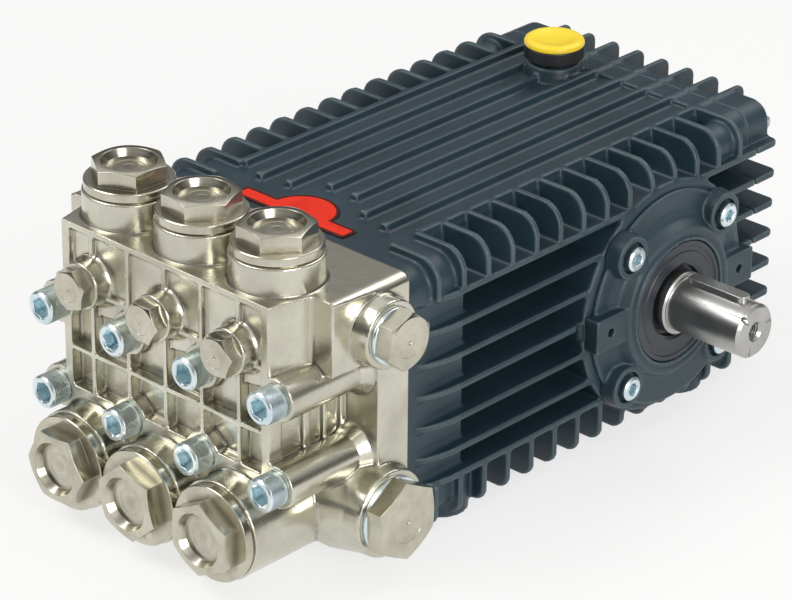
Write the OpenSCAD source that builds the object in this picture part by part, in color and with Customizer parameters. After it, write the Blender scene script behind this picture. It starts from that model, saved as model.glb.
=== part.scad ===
// Triplex plunger pump: a finned crankcase with a plated three-cylinder head.
// The crankshaft lies along X with its driven end at +X, the plungers lie along Y
// with the head at -Y, and Z is up. The origin is on the floor, at the centre of
// the four tapped foot holes.

/* [Crankcase] */
// Width of the crankcase over its fins
case_width = 191; // [184:1:200]
// Length of the crankcase, from the head joint to the rear cover joint
case_length = 274.5; // [268:0.5:287]
// Height of the flat deck above the floor
deck_height = 153.5; // [150.5:0.5:157.5]
// Height of the crankshaft axis above the floor
shaft_height = 74; // [72.5:0.5:76.5]
// Distance of the crankshaft axis before the rear cover joint
shaft_gap = 77.5; // [73:0.5:83]
// Length of the solid block that carries the head
front_block_length = 47.5; // [44:0.5:51]
// Setback of the block's sides from the side fins' edges
front_block_inset = 7; // [5:0.5:9]
// Depth of the deck's floor and the filled shoulders below the fins' edges
shoulder_inset = 4.4; // [3:0.2:5]

/* [Cooling fins] */
// Thickness of the cooling fins
fin_thickness = 3.4; // [2.6:0.1:4]
// Number of cross fins
cross_fin_count = 14; // [12:1:14]
// Setback of the first cross fin from the head joint
first_fin_setback = 22.2; // [20:0.2:24]
// Distance of the last cross fin from the rear cover joint
last_fin_gap = 14.4; // [12:0.2:17]
// Distance of the lowest side fin above the sill
lowest_fin_gap = 15; // [12:0.5:18]
// Number of level side fins under the shoulder ledge
side_fin_count = 5; // [3:1:5]
// Distance of the shoulder ledge's middle below the deck
ledge_drop = 22; // [20:0.5:24]
// Height of the sill's middle above the floor
sill_height = 27.5; // [25.5:0.5:29.5]
// Clearance of the lowest fin tips above the floor
fin_tip_clearance = 3.8; // [3:0.2:6]
// Radius of the fins' outer corners at the deck
fin_corner_radius = 13; // [8:0.5:15]
// Radius of the fins' lower tips
fin_tip_radius = 7; // [5:0.5:10]
// Setback from the head joint at which the side fins reach their full width
side_fin_setback = 38; // [34:0.5:42]
// Radius of the side fins' tapered front ends
side_fin_nose = 57.5; // [50:0.5:64]

/* [Deck] */
// Distance between the ribs along the deck
rib_pitch = 17.7; // [17:0.1:17.9]
// Width of a deck rib at its top
deck_rib_width = 4; // [3:0.2:5]
// Width by which a deck rib spreads on each side towards its foot
deck_rib_draft = 0.8; // [0.4:0.1:1.2]
// Setback of the foremost deck ribs from the head joint
rib_front_gap = 35; // [33:0.5:38]
// Further setback of the ribs behind the label recess's bulge
rib_stagger = 15.5; // [12:0.5:18]
// Length of the raised rim along the deck's rear end
deck_rim_length = 11; // [8:0.5:13]
// Depth of the deck's rear rim below the ribs' tops
deck_rim_drop = 1.3; // [0.8:0.1:2]
// Depth of the bare label recess at the front of the deck
recess_depth = 0.8; // [0.5:0.1:1.5]
// Length of the bare label recess, across the deck
recess_length = 79; // [70:1:86]
// Width of the label recess
recess_width = 12.2; // [10:0.2:14]
// Distance of the label recess behind the head joint
recess_gap = 14.3; // [12:0.1:16]
// Offset of the label recess from the pump's middle plane
recess_offset = 3.5; // [2:0.5:5]
// Radius of the bulge behind the label recess
bulge_radius = 20.5; // [18:0.5:24]
// Reach of the bulge behind the label recess
bulge_reach = 16.8; // [14:0.2:18]

/* [Rear cover] */
// Thickness of the rear cover's plate
rear_plate = 8; // [6:0.5:10]
// Reach of the upright rear fins behind the plate
rear_fin_reach = 19.5; // [16:0.5:22]
// Reach of the corner blocks behind the plate
corner_block_reach = 10; // [8:0.5:11]
// Inset of the corner blocks' sides from the fins' outer edges
corner_block_inset = 7.5; // [6:0.5:8]
// Reach of the level side fins behind the plate
rear_side_fin_reach = 11; // [8:0.5:13]
// Gap between the case's ribs and fins and those of the rear cover
rear_fin_gap = 0.8; // [0.4:0.1:1.2]
// Radius of the corners of the rear cover's fins
rear_fin_radius = 5; // [3:0.5:7]
// Inset of the rear cover's screws from the fins' outer edges
rear_screw_inset = 14; // [12.5:0.5:15.5]
// Diameter of the bosses round the rear cover's screws
rear_screw_boss = 21; // [18:0.5:23]
// Diameter of the rear screws' caps
rear_screw_cap = 10; // [8:0.5:11]
// Height of the rear screws' caps
rear_screw_rise = 5; // [3:0.5:6]
// Diameter of the oil window
window_diameter = 20; // [16:0.5:22]
// Width of the ring round the oil window
window_ring = 5; // [3:0.5:6]
// Depth of the oil window's seat
window_seat = 6; // [4:0.5:8]
// Width of the boss round the oil window's ring
window_boss = 7; // [5:0.5:9]
// Distance across the flats of the drain plug
drain_hex = 17; // [15:0.5:19]
// Height of the drain plug's hexagon
drain_hex_height = 7; // [5:0.5:9]
// Thread diameter of the drain plug
drain_thread = 10; // [8:0.5:12]

/* [Feet] */
// Distance between the foot holes, across the pump
foot_hole_span_x = 152; // [146:1:156]
// Distance of the rear foot holes before the rear cover joint
foot_rear_gap = 38.5; // [36:0.5:44]
// Distance of the front foot holes behind the head joint
foot_setback = 46; // [42:0.5:50]
// Diameter of the threaded foot holes
foot_hole_diameter = 10; // [8:0.5:12]
// Depth of the threaded foot holes
foot_hole_depth = 18; // [14:1:20]
// Diameter of a round foot pad
foot_pad_diameter = 29; // [26:0.5:32]

/* [Crankshaft] */
// Diameter of the driven shaft end
shaft_diameter = 30; // [28:0.5:32]
// Reach of the shaft past the face of its seal
shaft_reach = 51.5; // [46:0.5:56]
// Diameter of the shaft's collar, which turns in the seal
collar_diameter = 35; // [33:0.5:38]
// Reach of the collar past the face of the seal
collar_reach = 4; // [3:0.5:6]
// Width of the bevel at the shaft's end
shaft_bevel = 1.6; // [1:0.1:2.5]
// Diameter of the threaded hole in the shaft's end
shaft_hole_diameter = 8; // [6:0.5:10]
// Depth of the threaded hole in the shaft's end
shaft_hole_depth = 18; // [14:1:22]
// Width of the key
key_width = 8; // [7:0.5:9]
// Height of the key above the shaft's skin
key_rise = 3.3; // [2.5:0.1:4]
// Length of the key
key_length = 38; // [34:1:38]
// Depth of the key in the shaft
key_sink = 4; // [3:0.5:5]
// Distance of the key from the shaft's end
key_end_gap = 6; // [4:0.5:6]
// Running clearance between the shaft and what it turns in, on the radius
shaft_clearance = 0.05; // [0.03:0.01:0.08]

/* [Bearing covers] */
// Diameter of the bearing covers
cover_diameter = 120; // [117:0.5:124]
// Thickness of a bearing cover at its lower rim
cover_rim = 7.5; // [6.5:0.5:9]
// Height of the hub above the rim
cover_boss_rise = 3.5; // [3:0.5:5]
// Width by which the case's round boss stands out round a bearing cover
case_boss_margin = 5; // [3.5:0.5:6]
// Depth of the cover's pockets below its lower rim
cover_pocket = 5; // [3:0.5:6]
// Width of the prying slots beside the cover's lugs
pry_slot_width = 5.6; // [4:0.2:7]
// Height of the prying slots beside the cover's lugs
pry_slot_height = 11; // [8:0.5:13]
// Width of the flare at the foot of the hub
hub_flare = 9; // [6:0.5:11]
// Outer diameter of the hub ring
hub_diameter = 84; // [80:0.5:88]
// Diameter of the shaft seal
seal_diameter = 68.4; // [64:0.2:72]
// Distance between neighbouring cover screws
cover_screw_span = 75.6; // [73:0.2:78]
// Distance between the two threaded holes in the cover's lugs
lug_hole_span = 106.4; // [104:0.2:110]
// Diameter of the threaded holes in the lugs
lug_hole_diameter = 5; // [4:0.5:6]
// Distance of a lug's end past its threaded hole
lug_end = 11.2; // [10:0.2:13]
// Height of a lug
lug_height = 19; // [16:0.5:22]

/* [Pump head] */
// Distance between neighbouring plungers
plunger_pitch = 52; // [51:0.25:54]
// Depth of the head in front of its joint
head_depth = 76; // [74:0.5:80]
// Height of the head's top face above the floor
head_top = 155.5; // [153.5:0.5:157.5]
// Thickness of the head's rear flange
head_flange = 22; // [18:0.5:26]
// Width of the head's front face
head_front_width = 146; // [142:1:148]
// Height of the upper row of head screws above the floor
screw_row_top = 107.5; // [105.5:0.5:109.5]
// Distance between the two rows of head screws
screw_row_gap = 48; // [46:0.5:50]
// Width by which the head widens on each side between its front face and the port blocks
post_flare = 6; // [4:0.5:8]
// Inset of the port blocks' front corners from the case's sides
port_block_inset = 3; // [1:0.5:5]
// Radius of the upper corners of the head's flange
head_corner_radius = 6; // [4:0.5:8]
// Setback of the port blocks' front edges behind the front face
port_block_setback = 24.5; // [22:0.5:27]
// Height of the port blocks under the head's top face
port_block_height = 40; // [37:0.5:42]
// Thickness of the head's top plate
head_plate = 3.5; // [3:0.5:6]
// Height of the head flange's lower edge above the floor
head_flange_low = 39.5; // [37.5:0.5:43.5]
// Width of the raised ribs on the front face
rib_width = 2.6; // [2.2:0.2:4]
// Depth of the upper pockets between the ribs
pocket_depth = 2.6; // [2:0.2:5]
// Depth of the lower pockets between the ribs
deep_pocket_depth = 7; // [6:0.5:10]
// Depth of the recesses in the head's sides
side_recess_depth = 2.5; // [1.5:0.5:4]
// Diameter of the discharge valve bosses
discharge_boss_diameter = 48.6; // [46:0.2:50]
// Reach of the discharge valve bosses above the head's top face
discharge_boss_rise = 15.7; // [12:0.1:18]
// Setback of the discharge valves behind the front face
discharge_setback = 27.8; // [27:0.2:32]
// Diameter of the suction valve barrels
suction_barrel_diameter = 53.4; // [52.6:0.2:55]
// Height of the suction valves' axes above the floor
suction_height = 31.4; // [30.4:0.1:33.4]
// Reach of the suction barrels before the front face
suction_barrel_reach = 14.7; // [12:0.1:18]
// Height of the middle plugs above the floor
middle_plug_height = 127.5; // [125.5:0.5:129.5]
// Diameter of the middle plugs' bosses
middle_boss_diameter = 25; // [24:0.5:28]
// Reach of the middle plugs' bosses before the front face
middle_boss_reach = 8; // [6:0.5:10]
// Diameter of the barrels round the head screws
screw_barrel_diameter = 23; // [21:0.5:24]

/* [Ports] */
// Setback of both ports' axes in front of the head joint
port_setback = 21; // [20:0.5:24]
// Height of the outlet ports above the floor
outlet_height = 132.1; // [130.5:0.2:133.5]
// Height of the inlet ports above the floor
inlet_height = 32.5; // [31.5:0.1:34.5]
// Reach of the port bosses past the side of the head's flange
port_boss_reach = 8; // [6:0.5:10]
// Width of the shoulder round a port
port_shoulder = 4.5; // [3.5:0.5:6]
// Width by which an outlet's boss widens on the radius, towards the head's side
outlet_flare = 9; // [6:0.5:10]
// Width by which an inlet's boss widens on the radius, towards the head's side
inlet_flare = 4.5; // [2:0.5:5]
// Thread diameter of the outlet ports
outlet_thread = 21; // [19:0.1:23]
// Thread diameter of the inlet ports
inlet_thread = 33.2; // [30:0.2:34]
// Depth of the threads in the open ports
port_thread_depth = 18; // [14:1:22]

/* [Caps, plugs and screws] */
// Distance across the flats of a discharge cap
discharge_hex = 35; // [33:0.5:37]
// Distance across the flats of a suction cap
suction_hex = 36; // [34:0.5:38]
// Distance across the flats of a middle plug
middle_hex = 20; // [18:0.5:21]
// Distance across the flats of the outlet plug
outlet_hex = 27; // [26:0.5:28]
// Distance across the flats of the inlet plug
inlet_hex = 38; // [37:0.5:40]
// Height of the hexagons on the valve caps
cap_hex_height = 9; // [8:0.2:12]
// Height of the middle plugs' hexagons
middle_hex_height = 8; // [6:0.5:10]
// Height of the port plugs' hexagons
port_hex_height = 10; // [8:0.5:12]
// Height of the bevel on a hexagon's rim
hex_bevel = 1.4; // [0.8:0.1:2]
// Thickness of the round collars on the valve caps
cap_collar = 5.5; // [4:0.1:7]
// Width by which a discharge boss stands out round its cap's collar
collar_step = 0.9; // [0.5:0.1:1.5]
// Gap between the neighbouring collars of the suction caps
collar_gap = 0.6; // [0.4:0.1:1.5]
// Diameter of the dished recess in a valve cap
cap_dish_diameter = 28.8; // [24:0.2:30]
// Depth of the dished recess in a valve cap
cap_dish_depth = 4; // [2:0.2:5]
// Diameter of a head screw's cap
screw_cap_diameter = 18; // [16:0.5:19]
// Height of a head screw's cap
screw_cap_height = 12; // [10:0.5:14]
// Distance across the flats of a head screw's socket
screw_socket = 10; // [8:0.5:11]
// Diameter of a cover screw's cap
cover_screw_cap = 13.4; // [11:0.2:14]
// Height of a cover screw's cap
cover_screw_rise = 7; // [5:0.5:8]
// Depth to which a cover screw's cap sits in its boss
cover_screw_sink = 4; // [3:0.5:5]
// Gap round a cover screw's cap in its boss, on the radius
cover_screw_gap = 2; // [1:0.2:3]
// Distance across the flats of a cover screw's socket
cover_screw_socket = 6; // [5:0.5:7]
// Height of the bevel on a screw's cap
screw_bevel = 1; // [0.5:0.1:1.5]
// Length of the stub on which a cap, plug or screw sits
stub_length = 12; // [10:0.5:14]
// Gap around a stub in its hole, on the radius
stub_gap = 0.2; // [0.1:0.05:0.4]

/* [Filler] */
// Distance of the filler from the pump's middle plane
filler_offset = 27; // [22:1:32]
// Distance of the filler in front of the rear cover joint
filler_setback = 27; // [23:0.5:31]
// Diameter of the filler cap
filler_diameter = 33; // [30:0.5:36]
// Diameter of the filler's neck
filler_neck_diameter = 25; // [22:0.5:27]
// Height of the filler's neck above its boss
filler_neck_height = 2; // [1.5:0.5:4]
// Height of the black ring round the filler cap
filler_ring_height = 7.8; // [6:0.1:9]
// Thickness of the yellow top of the filler cap
filler_top = 2.7; // [2:0.1:4]
// Diameter of the boss round the filler at its top
filler_boss_diameter = 29; // [28:0.5:32]
// Width by which the filler's boss spreads towards the deck's floor
filler_boss_draft = 2; // [1:0.2:3]
// Height of the filler's boss above the ribs' tops
filler_boss_rise = 4.1; // [3:0.1:5]

/* [Hidden] */
CURVE = 64;
FINE = 32;
eps = 0.01;
case_half = case_width / 2;
deck_half = 3.5 * rib_pitch + deck_rib_width / 2 + deck_rib_draft + 0.3;
core_half = deck_half + 2;
corner_half = case_half - corner_block_inset;
deck_floor = deck_height - shoulder_inset;
foot_hole_span_y = case_length - foot_setback - foot_rear_gap;
joint_y = -foot_hole_span_y / 2 - foot_setback;
split_y = joint_y + case_length;
shaft_y = split_y - shaft_gap;
ledge_z = deck_height - ledge_drop;
cross_fin_pitch = (case_length - first_fin_setback - last_fin_gap) / (cross_fin_count - 1);
side_fin_pitch = (ledge_z - sill_height - lowest_fin_gap) / side_fin_count;
side_fin_heights = [for (i = [0:side_fin_count]) ledge_z - i * side_fin_pitch];
cross_fin_places = [for (i = [0:cross_fin_count - 1]) joint_y + first_fin_setback + i * cross_fin_pitch];
sill_low = sill_height - fin_thickness / 2;
rear_y = split_y + rear_plate;
rear_block_y = rear_y + corner_block_reach;
rear_side_fin_y = rear_y + rear_side_fin_reach;
rear_fin_y = rear_y + rear_fin_reach;
rear_screw_stub = 6;
rear_screw_places = [for (x = [-1, 1],
    z = [fin_tip_clearance + rear_screw_inset, deck_height - rear_screw_inset])
    [x * (case_half - rear_screw_inset), z]];
drain_z = sill_height + drain_hex / 2 + 3;
filler_y = split_y - filler_setback;
filler_z = deck_height + filler_boss_rise;
filler_stub = 18;

boss_face = case_half + 1.5;
cover_face = boss_face + cover_rim;
hub_face = cover_face + cover_boss_rise;
lug_face = cover_face + 1.5;
seal_face = hub_face - 0.6;
screw_boss_face = hub_face - 1.5;
screw_seat = screw_boss_face - cover_screw_sink;
cover_screw_stub = 8;
cover_boss_diameter = cover_screw_cap + 2 * cover_screw_gap + 6;
shaft_end = seal_face + shaft_reach;
shaft_inner_end = core_half - 26;
collar_end = seal_face + collar_reach;

front_y = joint_y - head_depth;
front_half = head_front_width / 2;
flange_y = joint_y - head_flange;
plate_z = head_top - head_plate;
block_y = front_y + port_block_setback;
cylinders = [-plunger_pitch, 0, plunger_pitch];
screw_columns = [for (i = [-1.5:1:1.5]) i * plunger_pitch];
screw_rows = [screw_row_top, screw_row_top - screw_row_gap];
discharge_y = front_y + discharge_setback;
discharge_seat = head_top + discharge_boss_rise;
suction_seat = front_y - suction_barrel_reach;
middle_seat = front_y - middle_boss_reach;
port_y = joint_y - port_setback;
port_seat = case_half + port_boss_reach;
washer_thickness = 2;
cap_stub = 36;
middle_stub = 12;
screw_stub = 11;
// How far each hexagon is screwed round, in degrees, as the pump was assembled.
discharge_turns = [-3.5, 21, 20.5];
suction_turns = [-29.5, 12, -2];
middle_turns = [-12, 28, -23];
outlet_turn = 19;
inlet_turn = 32;

// A level round bar along X, which may taper from one diameter to another.
module bar_x(x1, x2, y, z, d, d2 = 0) {
    translate([x1, y, z]) rotate([0, 90, 0])
        cylinder(h = x2 - x1, d1 = d, d2 = d2 > 0 ? d2 : d, $fn = CURVE);
}

// A level round bar along Y, which may taper from one diameter to another.
module bar_y(y1, y2, x, z, d, d2 = 0) {
    translate([x, y1, z]) rotate([-90, 0, 0])
        cylinder(h = y2 - y1, d1 = d, d2 = d2 > 0 ? d2 : d, $fn = CURVE);
}

// An upright round bar from one height to another, which may taper.
module bar_z(z1, z2, x, y, d, d2 = 0) {
    translate([x, y, z1]) cylinder(h = z2 - z1, d1 = d, d2 = d2 > 0 ? d2 : d, $fn = CURVE);
}

// A box given by its lowest and highest corners.
module block(low, high) {
    translate(low) cube(high - low);
}

// A flat rectangle given by its lowest and highest corners.
module rectangle(low, high) {
    translate(low) square(high - low);
}

// A rectangle with four rounded corners.
module round_rectangle(low, high, radius) {
    rectangle([low.x + radius, low.y], [high.x - radius, high.y]);
    rectangle([low.x, low.y + radius], [high.x, high.y - radius]);
    for (x = [low.x + radius, high.x - radius], y = [low.y + radius, high.y - radius])
        translate([x, y]) circle(r = radius, $fn = FINE);
}

// Raises a profile drawn in x and z along Y, from one y to another.
module run_y(y1, y2) {
    translate([0, y2, 0]) rotate([90, 0, 0]) linear_extrude(y2 - y1) children();
}

// Raises a profile drawn in y and z along X, from one x to another.
module run_x(x1, x2) {
    translate([x1, 0, 0]) rotate([90, 0, 90]) linear_extrude(x2 - x1) children();
}

// Raises a profile drawn in x and y upwards, from one z to another.
module run_z(z1, z2) {
    translate([0, 0, z1]) linear_extrude(z2 - z1) children();
}

// A hexagonal prism with a bevelled rim, turned by some degrees.
module hexagon(height, flats, turn) {
    corner = flats / cos(30);
    intersection() {
        rotate(30 + turn) cylinder(h = height, d = corner, $fn = 6);
        union() {
            cylinder(h = height - hex_bevel, d = corner + 1, $fn = CURVE);
            translate([0, 0, height - hex_bevel - eps])
                cylinder(h = hex_bevel + 2 * eps, d1 = corner + 1, d2 = flats - 1, $fn = CURVE);
        }
    }
}

// A cap screw that stands on z = 0, with a bevelled rim and a hexagon socket.
module cap_screw(diameter, height, socket, stub, reach) {
    translate([0, 0, -reach]) cylinder(h = reach + eps, d = stub, $fn = CURVE);
    difference() {
        union() {
            cylinder(h = height - screw_bevel, d = diameter, $fn = CURVE);
            translate([0, 0, height - screw_bevel - eps])
                cylinder(h = screw_bevel + eps, d1 = diameter, d2 = diameter - 2 * screw_bevel, $fn = CURVE);
        }
        translate([0, 0, height / 2]) cylinder(h = height, d = socket / cos(30), $fn = 6);
    }
}

// The outline of the upper parts of the cross fins, seen from the front.
module upper_fin_profile(inset) {
    intersection() {
        round_rectangle([-case_half + inset, sill_height], [case_half - inset, deck_height - inset],
            fin_corner_radius);
        rectangle([-case_half, ledge_z], [case_half, deck_height]);
    }
}

// The outline of the lower parts of the cross fins, seen from the front.
module lower_fin_profile(inset) {
    intersection() {
        round_rectangle([-case_half + inset, fin_tip_clearance + inset], [case_half - inset, ledge_z],
            fin_tip_radius);
        rectangle([-case_half, 0], [case_half, sill_height]);
    }
}

// The outline of the corner blocks at the rear: an upper band and a lower one.
module corner_profile() {
    intersection() {
        round_rectangle([-corner_half, fin_tip_clearance + shoulder_inset],
            [corner_half, deck_height - deck_rim_drop], fin_corner_radius - 2);
        union() {
            rectangle([-case_half, ledge_z], [case_half, deck_height]);
            rectangle([-case_half, 0], [case_half, sill_height]);
        }
    }
}

// A side fin seen from above: full width, with front ends that taper in a long curve.
module side_fin_plan() {
    full_y = joint_y + side_fin_setback;
    nose_x = case_half - side_fin_nose;
    rectangle([-case_half, full_y], [case_half, split_y]);
    intersection() {
        union() {
            for (x = [-nose_x, nose_x]) translate([x, full_y]) circle(r = side_fin_nose, $fn = 96);
            rectangle([-nose_x, full_y - side_fin_nose], [nose_x, full_y]);
        }
        rectangle([-case_half, joint_y], [case_half, full_y + eps]);
    }
}

module side_fins() {
    for (z = concat(side_fin_heights, [sill_height]))
        run_z(z - fin_thickness / 2, z + fin_thickness / 2) side_fin_plan();
}

// The cross fins, which end at the deck's outermost ribs.
module cross_fins() {
    for (y = cross_fin_places) run_y(y - fin_thickness / 2, y + fin_thickness / 2) {
        difference() {
            upper_fin_profile(0);
            rectangle([-3.5 * rib_pitch, deck_floor - 1], [3.5 * rib_pitch, deck_height + 1]);
        }
        lower_fin_profile(0);
    }
}

// The body inside the fins: front block, filled shoulders, core, deck and rear corners.
module case_body() {
    run_y(joint_y, joint_y + front_block_length)
        rectangle([-case_half + front_block_inset, sill_low], [case_half - front_block_inset, ledge_z]);
    run_y(joint_y, cross_fin_places[1]) {
        upper_fin_profile(shoulder_inset);
        lower_fin_profile(shoulder_inset);
    }
    run_y(joint_y + eps, split_y) rectangle([-core_half, sill_low], [core_half, ledge_z]);
    run_y(joint_y + eps, split_y) rectangle([-deck_half, ledge_z - 1], [deck_half, deck_floor]);
    run_y(cross_fin_places[cross_fin_count - 1], split_y) corner_profile();
}

// Ribs along the deck, staggered round the label recess; the outermost carry the cross fins.
module deck_ribs() {
    stagger = [0.42, 0, 0.22, 1, 1, 0.22, 0, 0.42];
    half = deck_rib_width / 2;
    for (i = [0:7]) {
        x = (i - 3.5) * rib_pitch;
        run_y(joint_y + rib_front_gap + stagger[i] * rib_stagger, split_y)
            polygon([[x - half - deck_rib_draft, deck_floor - 1], [x + half + deck_rib_draft, deck_floor - 1],
                [x + half, deck_height], [x - half, deck_height]]);
    }
}

// The raised rim along the deck's rear end, with a sloped front.
module deck_rim() {
    y1 = split_y - deck_rim_length;
    top = deck_height - deck_rim_drop;
    run_x(-deck_half + 1, deck_half - 1)
        polygon([[y1 - 3, deck_floor - 1], [split_y, deck_floor - 1], [split_y, top], [y1, top]]);
}

// The bare recess for a label: a strip across the deck's front, with a bulge behind it.
module label_recess() {
    half = recess_length / 2;
    y1 = joint_y + recess_gap;
    y2 = y1 + recess_width;
    translate([-recess_offset, 0, deck_floor - recess_depth]) linear_extrude(recess_depth + 1) {
        rectangle([-half, y1], [half, y2]);
        intersection() {
            translate([recess_offset / 2, y2 + bulge_reach - bulge_radius])
                circle(r = bulge_radius, $fn = CURVE);
            rectangle([-half, y2 + bulge_reach / 6], [half, y2 + bulge_reach + 1]);
        }
    }
}

// The round bosses on the case's sides, bevelled towards the bearing covers.
module case_bosses() {
    wide = cover_diameter / 2 + case_boss_margin;
    for (side = [0, 1])
        mirror([side, 0, 0]) translate([0, shaft_y, shaft_height]) rotate([0, 90, 0])
            rotate_extrude($fn = 96) polygon([[0, core_half - 2], [wide, core_half - 2],
                [wide, boss_face - 1], [wide - case_boss_margin / 2, boss_face], [0, boss_face]]);
}

// Slots in the boss beside the lugs, from which a bearing cover is prised off.
module pry_slots() {
    for (x = [-boss_face, boss_face], y = [-1, 1])
        translate([x, shaft_y + y * (lug_hole_span / 2 + lug_end + pry_slot_width / 2 - 1), shaft_height])
            cube([cover_rim, pry_slot_width, pry_slot_height], center = true);
}

module crankcase() {
    color("#3b474d") difference() {
        union() {
            case_body();
            deck_ribs();
            deck_rim();
            side_fins();
            cross_fins();
            case_bosses();
            for (p = rear_screw_places)
                bar_y(cross_fin_places[cross_fin_count - 2], cross_fin_places[cross_fin_count - 1],
                    p.x, p.y, rear_screw_boss);
            bar_z(deck_floor - 1, filler_z, -filler_offset, filler_y,
                filler_boss_diameter + 2 * filler_boss_draft, filler_boss_diameter);
            for (x = [-1, 1], y = [-1, 1])
                bar_z(0, sill_height, x * foot_hole_span_x / 2, y * foot_hole_span_y / 2,
                    foot_pad_diameter);
        }
        label_recess();
        pry_slots();
        bar_x(shaft_inner_end, boss_face + 1, shaft_y, shaft_height, collar_diameter + 2 * shaft_clearance);
        for (x = [-1, 1], y = [-1, 1])
            bar_z(-1, foot_hole_depth, x * foot_hole_span_x / 2, y * foot_hole_span_y / 2,
                foot_hole_diameter);
        for (y = [-1, 1], z = [-1, 1], x1 = [-boss_face - 1, boss_face - stub_length])
            bar_x(x1, x1 + stub_length + 1, shaft_y + y * cover_screw_span / 2,
                shaft_height + z * cover_screw_span / 2, cover_screw_stub + 2 * stub_gap);
        for (p = rear_screw_places)
            bar_y(split_y - stub_length, split_y + 1, p.x, p.y, rear_screw_stub + 2 * stub_gap);
        bar_z(deck_height - stub_length, filler_z + 1, -filler_offset, filler_y,
            filler_stub + 2 * stub_gap);
    }
}

// A rear fin's outline, square at the joint and rounded at its two rear corners.
module rear_fin_outline(low, high) {
    round_rectangle(low, high, rear_fin_radius);
    rectangle(low, [low.x + rear_fin_radius + 1, high.y]);
}

module rear_cover() {
    side_x = 3.5 * rib_pitch;
    fin_y = split_y + rear_fin_gap;
    low_z = fin_tip_clearance + shoulder_inset;
    color("#3b474d") difference() {
        union() {
            run_y(split_y, rear_y) {
                corner_profile();
                rectangle([-core_half - 6, sill_low], [core_half + 6, ledge_z]);
            }
            run_y(rear_y - eps, rear_block_y) intersection() {
                corner_profile();
                for (x = [-case_half, side_x]) rectangle([x, 0], [x + case_half - side_x, deck_height]);
            }
            for (i = [-3.5:1:3.5])
                run_x(i * rib_pitch - fin_thickness / 2, i * rib_pitch + fin_thickness / 2)
                    rear_fin_outline([fin_y, low_z], [rear_fin_y, deck_height]);
            for (z = concat(side_fin_heights, [sill_height]), side = [0, 1])
                mirror([side, 0, 0]) run_z(z - fin_thickness / 2, z + fin_thickness / 2) {
                    round_rectangle([side_x, fin_y], [case_half, rear_side_fin_y], rear_fin_radius);
                    rectangle([side_x, fin_y], [case_half, rear_y]);
                    rectangle([side_x, fin_y], [core_half + 6, rear_side_fin_y]);
                }
            bar_y(rear_y - 1, rear_fin_y, 0, shaft_height,
                window_diameter + 2 * window_ring + 2 * window_boss);
            bar_y(rear_y - 1, rear_fin_y, 0, drain_z, drain_hex + 7);
        }
        bar_y(rear_fin_y - window_seat, rear_fin_y + 1, 0, shaft_height,
            window_diameter + 2 * window_ring + 2 * stub_gap);
        bar_y(rear_fin_y - stub_length, rear_fin_y + 1, 0, drain_z, drain_thread + 2 * stub_gap);
        for (p = rear_screw_places)
            bar_y(split_y - 1, rear_block_y + 1, p.x, p.y, rear_screw_stub + 2 * stub_gap);
    }
}

module rear_cover_screws() {
    color("#c9ced1") for (p = rear_screw_places) translate([p.x, rear_block_y, p.y]) rotate([-90, 0, 0])
        cap_screw(rear_screw_cap, rear_screw_rise, rear_screw_cap / 2, rear_screw_stub,
            rear_plate + corner_block_reach + stub_length - 2);
}

module sight_glass_ring() {
    outer = window_diameter + 2 * window_ring;
    color("#c9ced1") difference() {
        bar_y(rear_fin_y - window_seat, rear_fin_y + window_ring / 2, 0, shaft_height, outer);
        bar_y(rear_fin_y - window_seat / 2, rear_fin_y + window_ring, 0, shaft_height, window_diameter);
    }
}

module sight_glass() {
    color("#d8c48a") bar_y(rear_fin_y - window_seat / 2, rear_fin_y, 0, shaft_height, window_diameter);
}

module drain_plug() {
    color("#c9ced1") {
        bar_y(rear_fin_y - stub_length + 2, rear_fin_y + eps, 0, drain_z, drain_thread);
        translate([0, rear_fin_y, drain_z]) rotate([-90, 0, 0]) hexagon(drain_hex_height, drain_hex, 0);
    }
}

// The turned section of a bearing cover: radius to the right, distance from the case upwards.
module cover_section(inner) {
    rim = cover_diameter / 2;
    hub = hub_diameter / 2;
    floor = cover_rim - cover_pocket;
    lip = cover_rim + cover_boss_rise;
    polygon([[inner, 0], [rim, 0], [rim, floor - 1], [rim - 1, floor],
        [hub + hub_flare, floor], [hub + hub_flare / 3, floor + (lip - floor) / 4],
        [hub, lip - 2], [hub - 1, lip - 0.5], [hub - 4, lip - 0.5], [hub - 4.5, lip - 1.5],
        [hub - 5.5, lip - 1.5], [hub - 6, lip], [inner, lip]]);
}

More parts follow.
